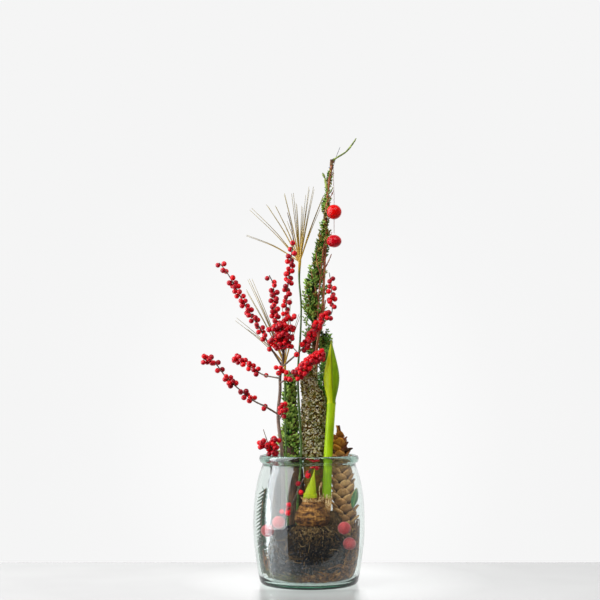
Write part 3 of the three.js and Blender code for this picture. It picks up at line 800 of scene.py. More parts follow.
def lyingStraw(rand, i):
    first = rand.gauss(-0.1, 0.55) if i % 2 else rand.uniform(straw["start"], straw["end"])
    first = min(max(first, straw["start"]), straw["end"] - 0.4)
    steep = rand.random() < 0.45 and abs(first) < 0.9
    sweep = rand.uniform(0.08, 0.22) if steep else rand.uniform(0.25, 0.75) * rand.choice((1, 1, -1))
    rise = strawHeight(first + sweep / 2) * rand.uniform(*((0.6, 1.1) if steep else (0.05, 0.7)))
    low = straw["base"] + rand.uniform(0, strawHeight(first) * 0.55)
    depth = rand.uniform(straw["middle"] - 3, straw["middle"] + 11)
    points = []
    for t in (step / 8 for step in range(9)):
        turn = first + sweep * t
        height = min(low + rise * t ** 1.3, straw["base"] + strawHeight(turn) * 1.15)
        wall = pairs(straw["wall"], height)
        radius = min(depth + 5 * t + rand.uniform(-2, 2), wall)
        points.append(roundAbout((0, 0), radius, turn, height))
    return points, [rand.uniform(0.4, 1.5), rand.uniform(0.4, 1.2), 0.3]


def standingStraw(rand):
    turn = rand.uniform(*straw["uprightTurn"])
    top = rand.uniform(*straw["uprightTop"])
    points = []
    for step in range(7):
        height = 12 + (top - 12) * step / 6
        radius = pairs(straw["wall"], height) - rand.uniform(0.5, 2.5)
        turn += rand.uniform(-0.012, 0.012)
        points.append(roundAbout((0, 0), radius, turn, height))
    return points, [rand.uniform(0.5, 1.1), rand.uniform(0.4, 0.9), 0.3]


def makeStraw():
    rand = random.Random(31)
    runs = [lyingStraw(rand, i) for i in range(straw["strands"])]
    runs += [standingStraw(rand) for _ in range(straw["upright"])]
    place(tubes("straw_strands", runs, 6, strawFinish()), "straw", "straw_nest")


makeSoil()
makeRoots()
makeStraw()
print("soil, roots and straw ready")

amaryllis = {
    "bulbAt": (5, -25, 100),
    "bulbRows": [(0, -15), (9, -16.5), (16, -14), (22.5, -9), (26.2, -3.5), (27.3, 1.5), (26.2, 7),
                 (22.8, 13.5), (18.6, 19), (15, 24), (13.2, 28), (12.6, 31.5), (10.6, 31), (9, 27)],
    "frill": {"strips": 42, "foot": 25, "radius": 13.6},  # torn tips of the tunic round the neck
    "curl": {"route": [(15, -25, 124), (16, -26, 134), (15, -28, 142), (17, -28, 150), (19, -28, 154),
                       (18, -28, 146)], "radii": [0.9, 0.7, 1.1, 0.5]},
    "scape": {"route": [(24, -20, 108), (26, -18, 128), (29, -16, 196), (34, -14, 272)],
              "radii": [7.2, 7.0, 6.8, 6.6, 6.5, 6.6]},
    # dry skins round the scape's foot
    "husk": {"strips": 18, "foot": 112, "top": (130, 138), "radius": 7.4},
    "shoot": {"route": [(1, -26, 118), (2, -27, 136), (5, -27, 152), (8, -27, 171)],
              "radii": [10, 9.6, 9.2, 8.0, 6.4, 4.2, 2.0, 0.5]},
    "sheathAt": (1.5, -26.5, 124),
    "sheathRows": [(10.0, 0), (10.35, 4), (10.25, 9), (9.6, 13), (9.2, 12.6), (9.6, 8), (9.4, 0)],
    "budFoot": (34, -14, 272),
    "budRows": [(0, -4), (6.3, -3.4), (7.0, -1.2), (6.9, 0.8), (6.1, 3.0), (6.7, 7), (8.4, 14),
                (10.3, 23), (11.5, 32), (11.8, 38), (11.3, 45), (10.0, 53), (8.4, 61), (6.5, 69),
                (4.7, 77), (2.9, 84), (1.5, 90), (0, 95)],
    "tipFade": (0.33, 0.367),
    "budTipFade": (0.352, 0.369),
    "inJarPaintedShade": (0.19, 0.165),
    "bulbShade": (0.004, 0.03),
    "seam": {"turn": -1.36, "slant": -0.3, "width": 0.13},  # in radians; -pi/2 faces the front
}


def freshFinish(name, subsurface):
    return Finish(name, 0.36, Subsurface_Weight=subsurface, Subsurface_Radius=(0.5, 1.0, 0.2),
                  Subsurface_Scale=0.004, Specular_IOR_Level=0.14)


def greenFinish(name, dark, middle, light, husk=None):
    # yellow-green with fine veins up the stem, darker in the jar as painted shade, and brown where a
    # dry husk holds it
    f = freshFinish(name, 0.12)
    vein = f.noise(0.0011, 3, 0.6, (1, 1, 0.03))
    cloud = f.noise(0.02, 2, 0.5, (1, 1, 0.35))
    shade = f.ramp(vein * 0.4 + cloud * 0.6, (0.3, dark), (0.5, middle), (0.7, light))
    tipped = f.mix(f.span("Z", *amaryllis["tipFade"]) * 0.7, shade, "#7d9a24")
    if husk:
        # painted shade: a deeper green low down, inside the jar
        tipped = f.mix(f.span("Z", *amaryllis["inJarPaintedShade"]) * 0.45, tipped, "#4e7404")
        skin = f.mix(f.between(vein, 0.35, 0.6), "#4e2f14", "#94683a")
        tipped = f.mix(f.between(f.axis("Z") + vein * 0.01, husk + 0.007, husk + 0.003), tipped, skin)
    f.set(Base_Color=tipped, Roughness=0.36 + cloud * 0.16)
    f.bump(vein, 0.0003, 0.6)
    return f


def spatheFinish():
    # the bud's sheath: two valves, each with fine lengthwise veins, browner at the seam; painted light
    # makes the left valve lighter and painted shade makes the right one darker
    f = freshFinish("budSheath", 0.1)
    seam = f.attribute("seam")
    vein = f.noise(0.0012, 3, 0.6, (1, 1, 0.05))
    grain = vein * 0.5 + f.noise(0.014, 2, 0.5, (1, 1, 0.5)) * 0.5
    # painted light and shade: a lighter ramp for the left valve and a darker one for the right
    left = f.ramp(grain, (0.3, "#a4b406"), (0.52, "#bccc0e"), (0.72, "#d8e02c"))
    right = f.ramp(grain, (0.3, "#64860a"), (0.52, "#7ea206"), (0.72, "#9abb14"))
    shade = f.mix(seam * 0.75, f.mix(f.attribute("valve"), left, right), "#4f5c14")
    f.set(Base_Color=f.mix(f.span("Z", *amaryllis["budTipFade"]) * 0.6, shade, "#9c8a4a"))
    f.bump(vein - seam * 0.8, 0.0005, 0.7)
    return f


def bulbFinish():
    # papery brown tunic: ochre where thin, dark torn edges that run round it, fine upright ribs
    f = Finish("bulbTunic", 0.6, Specular_IOR_Level=0.25)
    rib = f.noise(0.003, 4, 0.65, (1, 1, 0.3))
    band = f.noise(0.007, 4, 0.7, (0.45, 0.45, 1.7), (0.3, 0.1, 0))
    fine = f.noise(0.0011, 2, 0.6, (1, 1, 0.4))
    shade = f.ramp(rib * 0.35 + band * 0.65, (0.38, "#1c0e06"), (0.45, "#512c14"), (0.52, "#905c28"),
                   (0.6, "#c48a44"), (0.72, "#e6bd7c"))
    # painted shade: the right side of the bulb darker
    shade = f.mix(f.span("X", *amaryllis["bulbShade"]) * 0.5, shade, "#3f2a1b")
    f.set(Base_Color=f.mix(f.between(fine, 0.56, 0.7) * 0.6, shade, "#2e190c"),
          Roughness=0.5 + band * 0.3)
    f.bump(rib * 0.8 + band * 2.0 + fine * 0.5, 0.0022)
    return f


def shapeBud(bud):
    # two valves meet along a seam that starts right of the tip and runs down the front
    seam = amaryllis["seam"]
    foot, tall = Vector(amaryllis["budFoot"]) * mm, amaryllis["budRows"][-1][1] * mm
    seams, valves = [], []
    for vertex in bud.data.vertices:
        local = vertex.co - foot
        share = max(local.z, 0) / tall
        turn = math.atan2(local.y, local.x) - (seam["turn"] + seam["slant"] * share)
        gap = min(abs(turn), abs(turn - math.pi)) / seam["width"]
        near = math.exp(-gap ** 2) * min(1, max(0, share * 8 - 1))
        right = 0 < turn < math.pi
        seams.append(near)
        valves.append(1.0 if right else 0.0)
        swell = 1 + (0.035 if right else 0.0) * min(1, share * 4) - 0.05 * near
        keel = 1 + 0.06 * math.exp(-((turn - math.pi / 2) / 0.3) ** 2) * share
        vertex.co.x = foot.x + local.x * swell * keel
        vertex.co.y = foot.y + local.y * swell * 0.88
    setLayer(bud, "seam", seams)
    setLayer(bud, "valve", valves)


def frillRuns(rand):
    # dry, torn tips of the tunic round the neck, and the husk round the scape's foot
    x, y, z = amaryllis["bulbAt"]
    frill, husk = amaryllis["frill"], amaryllis["husk"]
    runs = []
    for i in range(frill["strips"]):
        turn = i / frill["strips"] * math.tau + rand.uniform(-0.08, 0.08)
        flare = rand.uniform(0.5, 5.5)
        tall = rand.uniform(2.5, 8)
        points = [roundAbout((x, y), frill["radius"] + flare * t * t, turn + 0.15 * t,
                             z + frill["foot"] + tall * t) for t in (0, 1 / 3, 2 / 3, 1)]
        runs.append((points, [1.5, 1.2, 0.25]))
    runs.append((Path(amaryllis["curl"]["route"], 6).points, amaryllis["curl"]["radii"]))
    low, high = [Vector(knot) for knot in amaryllis["scape"]["route"][:2]]
    for i in range(husk["strips"]):
        turn = i / husk["strips"] * math.tau + rand.uniform(-0.12, 0.12)
        top = rand.uniform(*husk["top"])
        points = []
        for t in (0, 0.25, 0.5, 0.75, 1):
            height = husk["foot"] + (top - husk["foot"]) * t
            centre = low.lerp(high, (height - low.z) / (high.z - low.z))
            points.append(roundAbout(centre, husk["radius"] + 0.8 * t * t, turn, height))
        runs.append((points, [1.7, 1.5, 1.1, 0.3]))
    return runs


def makeAmaryllis():
    rand = random.Random(41)
    bulb = wear(lathe("bulb", amaryllis["bulbRows"], 56, amaryllis["bulbAt"]), bulbFinish())
    soften(bulb)
    roughen(bulb, 9, 3.0, 2, 0, 0.5)
    roughen(bulb, 3, 1.5, 2, 0.2, 0.5)
    dry = grainFinish("dryFrill", 0.7, (0.003, 3, 0.6), 0.0006, (0.34, "#6e4524"), (0.5, "#b78a56"),
                      (0.66, "#e6cda0"), Specular_IOR_Level=0.2)
    flakes = tubes("neck_frill", frillRuns(rand), 4, dry)
    huskTop = amaryllis["husk"]["top"][0] * mm
    scape = stem("scape", amaryllis["scape"], 14, 24,
                 greenFinish("freshGreen", "#86a806", "#a2c40a", "#c0dc1c", huskTop))
    youngGreen = greenFinish("youngGreen", "#849006", "#a0aa08", "#bec41e")
    shoot = stem("shoot", amaryllis["shoot"], 10, 24, youngGreen)
    sheath = wear(lathe("shoot_sheath", amaryllis["sheathRows"], 32, amaryllis["sheathAt"]), youngGreen)
    bud = wear(lathe("bud", amaryllis["budRows"], 72, amaryllis["budFoot"]), spatheFinish())
    shapeBud(bud)
    soften(bud)
    plant = joined("amaryllis_bulb_and_bud", bulb, flakes, scape, shoot, sheath, bud)
    place(plant, "amaryllis", "amaryllis_plant")


makeAmaryllis()
print("amaryllis ready")

cone = {
    "route": [(56, 8, 62), (55, 8, 90), (53, 8, 130), (50.5, 7, 165), (47.5, 5, 205), (45, 4, 238)],
    "radii": [11, 18, 20.5, 20.5, 18.5, 16.5, 12.5, 8, 4],
    "leans": [0.9, 0.62, 0.5, 0.45, 0.42, 0.4, 0.34, 0.2],
    "core": 0.6,
    "scales": 92,
    "scaleLength": 24,
    "scaleWidth": 20.5,
    "scaleOutline": [0.28, 0.5, 0.86, 1.0, 0.72, 0.1],
    "closedBelow": 203,
    "amber": (0.186, 0.203),  # heights over which it turns amber
    "sizes": {"least": 0.62, "more": 0.4, "widest": 0.0205},
    "sunk": 0.42,
    "middle": (46, 4),
    "openScales": [  # foot, direction, size and tone of the scales that stand open at the top
        ((44, 4, 221), (0, 0, 1), 0.72, 0.6), ((46.5, -2, 203), (0.02, -0.35, 1), 0.78, 0.75),
        ((51, 2, 208), (0.42, -0.1, 1), 0.62, 0.3), ((43, 2, 210), (-0.3, -0.1, 1), 0.66, 0.4),
        ((54, 1, 196), (0.85, -0.1, 0.62), 0.62, 0.02), ((46, 1, 216), (0.12, -0.25, 1), 0.62, 0.5),
        ((47, 8, 212), (0.1, 0.35, 1), 0.7, 0.4), ((43, 6, 205), (-0.4, 0.3, 1), 0.66, 0.3),
        ((51, 7, 203), (0.4, 0.4, 1), 0.66, 0.2), ((41, 2, 201), (-0.42, -0.3, 1), 0.6, 0.2),
    ],
}


def coneFinish():
    f = Finish("coneScale", 0.6, Specular_IOR_Level=0.25)
    along = f.attribute("along")
    tone = f.attribute("tone")
    grain = f.noise(0.0016, 4, 0.6, (1, 1, 0.35))
    shade = f.ramp(grain * 0.5 + f.noise(0.009, 2) * 0.3 + tone * 0.2, (0.25, "#8a5a2e"),
                   (0.45, "#b98650"), (0.62, "#d3a56c"), (0.8, "#e4c08c"))
    # painted shade: each scale darker towards its root, in the gaps between the scales
    dark = f.mix(f.between(along, 0.6, 0.25), shade, "#3c2413")
    rim = f.mix(f.between(along, 0.92, 1.0) * 0.8, dark, "#5a381e")
    amber = f.ramp(tone + (grain - 0.5) * 0.4, (0.05, "#3a150a"), (0.32, "#8e4414"), (0.7, "#d48c28"))
    up = f.span("Z", *cone["amber"])
    f.set(Base_Color=f.mix(up * (0.6 + along * 0.4), rim, amber), Roughness=0.5 + grain * 0.25)
    f.bump(grain, 0.0006)
    return f


def scaleTemplate():
    # a spatulate scale: a plane that is subdivided, shaped and thickened
    length, width = cone["scaleLength"] * mm, cone["scaleWidth"] * mm
    scale = addShape(bpy.ops.mesh.primitive_grid_add, "scale", x_subdivisions=4, y_subdivisions=5,
                     size=1)
    setLayer(scale, "along", [vertex.co.y + 0.5 for vertex in scale.data.vertices])
    for vertex in scale.data.vertices:
        across, t = vertex.co.x * 2, vertex.co.y + 0.5
        half = station(cone["scaleOutline"], t) * width / 2
        vertex.co = (across * half, -0.0022 * across * across + 0.0034 * t * t, t * length)
    closeUp(scale, merge=False)
    thicken(scale, 0.0012)
    shadeSmooth(scale)
    return scale


def makeCone():
    rand = random.Random(53)
    path = Path(cone["route"])
    finish = coneFinish()
    scale = scaleTemplate()
    sizes = cone["sizes"]
    spots = []
    for i in range(cone["scales"]):
        share = (i + 0.5) / cone["scales"]
        centre, axis = path.at(share * 0.93)
        if centre.z > cone["closedBelow"] * mm:
            break
        side = sideways(axis, i * goldenAngle)
        radius = station(cone["radii"], share) * mm
        size = min(1.0, sizes["least"] + radius / sizes["widest"] * sizes["more"])
        size *= rand.uniform(0.94, 1.06)
        along = axis + side * (station(cone["leans"], share) + rand.uniform(-0.05, 0.05))
        root = centre + side * (radius * cone["sunk"])
        spots.append((framed(root, along, side, size), rand.random()))
    for at, along, size, tone in cone["openScales"]:
        out = Vector((at[0] - cone["middle"][0], at[1] - cone["middle"][1], 0)) + Vector(along)
        spots.append((framed(Vector(at) * mm, Vector(along), out, size), tone))
    scales = copies("cone_scales", scale, spots, finish)
    bpy.data.objects.remove(scale)
    core = stem("cone_core", cone, 8, 12, finish, cone["core"])
    setLayer(core, "tone", 0.2)
    place(keepInJar(joined("cone_with_scales", scales, core)), "cone", "spruce_cone")


makeCone()
print("cone ready")

# the lichen-covered stick, the bark and the conifers

lichenStick = {
    "route": [(10, 17, 40), (10, 15, 110), (8, 10, 160), (7, 8, 200), (7, 8, 268), (6.5, 8, 281),
              (2, 8, 291), (0, 8, 310), (0, 8, 330)],
    "radii": [14, 16.2, 17.8, 17.4, 17.4, 16.2, 12.6, 11.6, 9.5],
    "core": 0.88,
    "curls": 3900,
    "curlSize": 4.2,
    "curled": (0.52, 0.475),  # where the curls start and how far they go on
}
bark = {
    "foot": (-47.3, 23, 44), "height": 142, "halfWidth": 13, "halfDepth": 5.5,
    "lean": -0.012, "cuts": 26,
}
leafSprig = {"length": 17, "reach": 6.4, "leaves": 7, "width": 2.0}
# sprigs: route or none, count, where they start and end, core, reach and lean along it, sizes
column = {
    "name": "conifer_column_leaves", "node": "conifer_column", "seed": 67,
    "route": [(-18.5, 21, 34), (-19.5, 20, 120), (-27, 18, 192), (-28, 17, 262), (-27, 16, 318)],
    "radii": [16, 16, 12.5, 7.5, 2.4],
    "perSpan": 12, "sides": 40,
    "rough": [(5, 5.0, 3, 0, 6), (2.2, 1.2, 2, 0.2, 4)],
    "wood": ("columnBark", "#1d120a", "#4d3422", "#835c3c", "#a3845e"),
    "green": ("columnGreen", "#0c2c04", "#4c8820", "#c2e272", "#86602a", 0.45),
    "sprigs": [
        (None, 250, 0.48, 0.95, [5, 4, 3, 1], [10, 9, 6.5, 2.5], [0.35, 0.35, 0.3, 0.15], (0.85, 1.3)),
    ],
}
spire = {
    "name": "conifer_spire_leaves", "node": "conifer_spire", "seed": 71,
    "route": [(8, 38, 34), (8, 38, 200), (9, 36, 300), (10, 28, 362), (9, 22, 401), (8, 20, 440),
              (12, 20, 475), (18, 20, 502), (23, 20, 526), (25, 19, 554), (27, 18, 580), (29, 16, 599),
              (32, 12, 622), (35, 8, 640), (36, 7, 650)],
    "radii": [4.6, 4.6, 4.6, 4.6, 5.0, 4.5, 4, 3.4, 3, 2.8, 2.6, 2.3, 2.1, 2.4, 3.0],
    "perSpan": 6, "sides": 12,
    "rough": [(3.2, 1.8, 2)],
    "wood": ("spireBark", "#33200f", "#6a4526", "#8f7a3a", "#a8503a"),
    "green": ("spireGreen", "#0c2a06", "#3e7820", "#a8cc60", "#a8743e", 0.75),
    "young": [  # route, radii and points to a span of the tip, a side twig, and the young leaf and pod
        ([(36, 7, 648), (44, 6, 653), (58, 4, 662), (68, 3, 674), (74, 2, 683)],
         [2.2, 1.5, 1.1, 1.5, 1.2, 0.6], 8),
        ([(28, 15, 596), (34, 8, 600), (37.4, 4.8, 606)], [1.4, 1.2, 0.7], 5),
        ([(31, 12, 598), (27.4, 11.5, 609), (25.3, 11.5, 620), (24.6, 11.5, 624)],
         [0.7, 2.3, 1.7, 0.6], 6),
        ([(25.6, 11.5, 619), (24, 11, 624), (22.6, 11, 627), (21.4, 11.5, 630)],
         [0.5, 1.8, 1.9, 0.4], 6),
    ],
    "red": [  # route and radii
        ([(27, 17, 556), (26.5, 15, 524), (25, 13, 501), (23.5, 12, 466), (22, 12, 432), (18, 14, 400),
          (13, 18, 366)], [1.5, 2.0, 2.1, 2.3]),
        ([(26, 16, 566), (29.6, 13, 599), (32.6, 10, 622), (35, 5, 640)], [1.5, 2.0, 2.2, 2.0, 1.6]),
        ([(28.4, 15, 583), (34.6, 12, 593.6), (39, 10, 602.7)], [1.2, 0.9, 0.5]),
        ([(26.7, 15, 517), (32.9, 12, 528), (36, 11, 537)], [1.2, 0.9, 0.5]),
        ([(25, 13, 481), (31.3, 11, 493), (35.2, 10, 502.6)], [1.2, 0.9, 0.5]),
        ([(26.8, 14, 540), (20.4, 9, 490), (15.7, 7, 443), (12.6, 8, 397)], [0.8, 1.2, 1.0, 0.6]),
        ([(25.8, 11, 431), (20.3, 8, 403), (12.5, 7, 361), (9.4, 6, 314)], [1.0, 1.5, 1.9, 2.2]),
        ([(18, 12, 420), (9, 6, 452), (3, 8, 478)], [1.1, 0.8, 0.5]),
        ([(22, 10, 462), (13, 4, 486), (11, 8, 505)], [1.1, 0.8, 0.5]),
    ],
    "knobs": [(33.4, 13, 630), (35, 12, 636), (36, 11, 641.5), (37, 9, 647)],
    "sprigs": [
        (None, 230, 0.5, 0.8, [3, 3, 3, 2.4, 1.5], [9, 13, 13, 8, 3],
         [0.45, 0.45, 0.4, 0.26, 0.14], (0.8, 1.3)),
        (None, 85, 0.77, 0.9, [2.0, 1.4, 0.8], [5, 4, 2], [0.3, 0.26, 0.2], (0.55, 0.8)),
        *[(tuft, 11, 0.05, 0.95, [0.5, 0.5], [4, 2.5], [0.5, 0.3], (0.6, 0.85)) for tuft in (
            [(17.3, 22, 351), (22, 20, 366.4), (26.6, 18, 378.8)], [(18.9, 22, 354), (15.7, 18, 369.5)],
            [(20.4, 22, 354), (29.7, 20, 365)])],
        (None, 75, 0.86, 0.975, [1.8, 1.4], [3.0, 1.6], [0.3, 0.2], (0.35, 0.6)),
    ],
}
backSprig = {
    "name": "back_sprig_leaves", "node": "conifer_back_sprig", "seed": 73,
    "route": [(29, 33, 34), (29, 31, 180), (24, 26, 278), (24, 25, 325), (26, 24, 380)],
    "radii": [2.6, 2.4, 2.2, 1.8, 1.0],
    "perSpan": 6, "sides": 8,
    "rough": [],
    "wood": ("backBark", "#2a1c10", "#5a4028", "#7c6a44"),
    "green": ("backGreen", "#1c4c14", "#4f9634", "#a0d46c", "#5a4a1e", 0.1),
    "sprigs": [(None, 130, 0.6, 0.97, [1.5, 1.5, 1], [4.5, 6, 4], [0.5, 0.5, 0.35], (0.7, 1.1))],
}
firSprig = {
    "route": [(-66.5, -6, 16), (-71.5, -6, 66), (-71.2, -6, 111), (-66.5, -6, 142)],
    "radii": [2.2, 1.9, 1.6, 0.9],
    "needles": 620,
    "bushy": 0.42,  # up to this share of it there are needles all round
    "combs": 23,
    "bunch": 8,
    "needleLength": 12.0,
}


def leafFinish(name, dark, middle, light, brown, browned):
    # scale-leaved green; each sprig and each leaf on it has its own shade, and some are brown
    f = Finish(name, 0.55, Specular_IOR_Level=0.1)
    fine = f.noise(0.003, 2, 0.6)
    shade = f.ramp(f.attribute("tone") * 0.35 + f.attribute("leafTone") * 0.45 + fine * 0.2,
                   (0.26, dark), (0.5, middle), (0.72, light))
    tipped = f.mix(f.between(f.attribute("along"), 0.4, 1.0) * 0.35, shade, light)
    patch = f.between(f.noise(0.011, 3, 0.65), 0.54, 0.62)
    f.set(Base_Color=f.mix(patch * browned, tipped, brown), Roughness=0.45 + fine * 0.3)
    f.bump(fine, 0.0006)
    return f


def barkFinish(name, dark, middle, light, fleck="#b9a98c"):
    f = Finish(name, 0.85)
    streak = f.noise(0.003, 4, 0.65, (1, 1, 0.16))
    fine = f.noise(0.0012, 3, 0.6, (1, 1, 0.5))
    shade = f.ramp(streak * 0.6 + f.noise(0.01, 2, 0.5, (1, 1, 0.4)) * 0.4,
                   (0.32, dark), (0.5, middle), (0.68, light))
    f.set(Base_Color=f.mix(f.between(fine, 0.62, 0.74) * 0.55, shade, fleck))
    f.bump(streak * 1.5 + fine, 0.0012)
    return f


def lichenFinish():
    # beige-grey lichen, brown bark and green moss, finely mixed
    f = Finish("lichenBark", 0.95, Specular_IOR_Level=0.1)
    speck = f.noise(0.0022, 3, 0.7)
    moss = f.between(f.noise(0.007, 3, 0.6, (1, 1, 0.7)), 0.48, 0.6)
    shade = f.ramp(speck * 0.3 + f.attribute("tone") * 0.7, (0.22, "#3a2410"), (0.36, "#8a6228"),
                   (0.48, "#b4a458"), (0.6, "#e8dca8"), (0.8, "#fff8e0"))
    f.set(Base_Color=f.mix(moss * 0.65, shade, "#66701c"))
    f.bump(speck * 1.5, 0.0016)
    return f


def makeLobe(root, tip, width, shade):
    # a flattened spindle: a cone whose open end is drawn out to a point
    lobe = addShape(bpy.ops.mesh.primitive_cone_add, "lobe", vertices=4, radius1=1, radius2=0, depth=1,
                    end_fill_type="NOTHING")
    with editing(lobe, "edges", lambda edge: all(v.co.z < -0.4 for v in edge.verts)):
        bpy.ops.mesh.extrude_region_move(TRANSFORM_OT_translate={"value": (0, 0, -0.85)})
        bpy.ops.mesh.merge(type="CENTER")
    lobe.data.transform(Matrix.Translation((0, 0, 1.35)))
    span = (tip - root).length
    lobe.data.transform(Matrix.Diagonal((width * mm, width * 0.5 * mm, span / 1.85 * mm, 1)))
    lobe.data.transform(framed(root * mm, tip - root, Vector((0, 1, 0.01))))
    setLayer(lobe, "leafTone", shade)
    return lobe


def sprigTemplate(rand):
    # a sprig of scale leaves: flattened spindles all round a thin axis, opening towards the tip
    length, wide = leafSprig["length"], leafSprig["width"]
    rows = []
    for i in range(leafSprig["leaves"]):
        t = (i + 0.6) / leafSprig["leaves"]
        turn = i * goldenAngle
        out = leafSprig["reach"] * (0.55 + 0.45 * math.sin(math.pi * min(t + 0.1, 1)))
        root = Vector((0, 0, length * t * 0.8))
        tip = root + Vector((out * math.cos(turn), out * 0.6 * math.sin(turn), length * 0.26))
        rows.append((root, tip, wide * (1.1 - 0.35 * t), rand.random()))
    rows.append((Vector((0, 0, length * 0.7)), Vector((0, 0, length)), wide * 0.85, 0.8))
    rows.append((Vector((0, 0, 0)), Vector((0, 0, length * 0.8)), wide * 0.5, 0.1))
    sprig = joined("sprig", *[makeLobe(*row) for row in rows])
    closeUp(sprig, merge=False)
    setLayer(sprig, "along", [vertex.co.z / (length * mm) for vertex in sprig.data.vertices])
    return sprig


def sprigSpots(route, count, start, end, core, reach, lean, sizes, rand):
    # sprigs round a stem, leaning up and out, gathered in tufts with gaps between
    path = Path(route)
    spots = []
    while len(spots) < count:
        t = rand.random()
        centre, axis = path.at(start + (end - start) * t)
        side = sideways(axis, rand.uniform(0, math.tau))
        outer = station(reach, t) * mm
        root = centre + side * (station(core, t) * mm + outer * rand.uniform(0, 0.85))
        if noise.noise(root / 0.011) < rand.uniform(-0.5, 0.15):
            continue
        along = axis + side * (station(lean, t) * rand.uniform(0.4, 1.6))
        along += Vector((rand.uniform(-0.2, 0.2), rand.uniform(-0.2, 0.2), 0))
        face = side + Vector((rand.uniform(-0.6, 0.6), rand.uniform(-0.6, 0.6), 0))
        spots.append((framed(root, along, face, rand.uniform(*sizes)), rand.random()))
    return spots


def curlTemplate():
    curl = addShape(bpy.ops.mesh.primitive_grid_add, "curl", x_subdivisions=2, y_subdivisions=2,
                    size=lichenStick["curlSize"] * mm)
    for i, vertex in enumerate(curl.data.vertices):
        lift = noise.noise(Vector((i * 1.7, 0.4, 2.2)))
        vertex.co.z += 0.0014 * lift + 90 * (vertex.co.x ** 2)
        vertex.co.x *= 1 + 0.4 * noise.noise(Vector((i * 0.9, 3, 0)))
    thicken(curl, 0.0008)
    return curl


def makeLichenStick():
    rand = random.Random(61)
    finish = lichenFinish()
    stick = stem("stick", lichenStick, 10, 32, finish, lichenStick["core"])
    setLayer(stick, "tone", 0.26)
    soften(stick)
    roughen(stick, 7, 3.4, 2)
    roughen(stick, 2.6, 1.6, 1, 0.4)
    path = Path(lichenStick["route"], 10)
    girth = [(spot[2], radius) for spot, radius in zip(lichenStick["route"], lichenStick["radii"])]
    start, onward = lichenStick["curled"]
    curl = curlTemplate()
    spots = []
    for i in range(lichenStick["curls"]):
        centre, axis = path.at(start + onward * (i + rand.random()) / lichenStick["curls"])
        side = sideways(axis, i * goldenAngle + rand.uniform(-0.3, 0.3))
        radius = pairs(girth, centre.z / mm) * mm
        root = centre + side * (radius * rand.uniform(0.88, 1.04))
        lean = anyWay(rand)
        turned = framed(root, axis + lean, side + lean * 0.6, rand.uniform(0.45, 1.0))
        spots.append((turned, rand.random()))
    curls = copies("curls", curl, spots, finish)
    bpy.data.objects.remove(curl)
    place(joined("lichen_covered_stick", stick, curls), "lichen_bark", "lichen_stick")


def makeBark():
    # a slab of bark: a finely divided block, rounded off, its left edge torn, with upright furrows
    foot = Vector(bark["foot"]) * mm
    slab = addShape(bpy.ops.mesh.primitive_cube_add, "bark_slab", size=1)
    with editing(slab):
        bpy.ops.mesh.subdivide(number_cuts=bark["cuts"])
    for vertex in slab.data.vertices:
        x, y, z = vertex.co * 2
        height = (z + 1) / 2 * bark["height"] * mm
        torn = 1 + 0.3 * noise.noise(Vector((x * 0.6, 1.7, height * 45)))
        narrowed = (1 - 0.5 * abs(y) ** 3) * torn
        ragged = noise.noise(Vector((x * 2.2, 4.4, 0))) * 0.006 * (z + 1) / 2
        vertex.co = (foot.x + x * narrowed * bark["halfWidth"] * mm + bark["lean"] * height,
                     foot.y + y * (1 - 0.55 * abs(x) ** 3) * bark["halfDepth"] * mm,
                     foot.z + height - abs(ragged) - 0.003 * abs(x) * (z + 1))
    roughen(slab, 5, 4.2, 3, 0, 7)
    roughen(slab, 2.2, 1.2, 2, 0.2, 4)
    shadeSmooth(slab)
    wear(slab, barkFinish("slabBark", "#0c0603", "#20120a", "#48301c", "#6c5032"))
    place(slab, "bark", "bark_piece")


def spireTwigs():
    knobs = [Vector(knob) for knob in spire["knobs"]]
    knobRuns = [([knob - Vector((0, 0, 2.6)), knob, knob + Vector((0.4, 0, 2.6))], [1.2, 3.3, 1.2])
                for knob in knobs]
    runs = [(Path(run, 8).points, radii) for run, radii in spire["red"]]
    runs += [(Path(run, 4).points, radii) for run, radii in knobRuns]
    red = tubes("red_twigs", runs, 8, barkFinish("redTwig", "#5e2c18", "#ae6440", "#d09a6c", "#e4cca8"))
    roughen(red, 3, 1.6, 1)
    runs = [(Path(run, perSpan).points, radii) for run, radii, perSpan in spire["young"]]
    young = tubes("young_twigs", runs, 12, grainFinish(
        "youngTwig", 0.5, (0.004, 3, 0.6, (1, 1, 0.5)), 0.0006,
        (0.3, "#39430f"), (0.5, "#6c7d28"), (0.7, "#98a84a")))
    roughen(young, 3.4, 0.9, 1)
    return [red, young]


def makeConifer(part, sprig, twigs=()):
    rand = random.Random(part["seed"])
    wood = stem("wood", part, part["perSpan"], part["sides"], barkFinish(*part["wood"]))
    for lumps in part["rough"]:
        roughen(wood, *lumps)
    spots = []
    for route, *rule in part["sprigs"]:
        spots += sprigSpots(route or part["route"], *rule, rand)
    leaves = copies("leaves", sprig, spots, leafFinish(*part["green"]))
    place(joined(part["name"], wood, *twigs, leaves), "conifer", part["node"])


def needleTemplate():
    length = firSprig["needleLength"] * mm
    needle = addShape(bpy.ops.mesh.primitive_cone_add, "needle", vertices=4, radius1=0.0011,
                      radius2=0.0004, depth=length)
    needle.data.transform(Matrix.Translation((0, 0, length / 2)))
    with editing(needle):
        bpy.ops.mesh.subdivide(number_cuts=1)
    shares = [vertex.co.z / length for vertex in needle.data.vertices]
    setLayer(needle, "along", shares)
    for vertex, share in zip(needle.data.vertices, shares):
        vertex.co.y += 0.0016 * share * share
    return needle


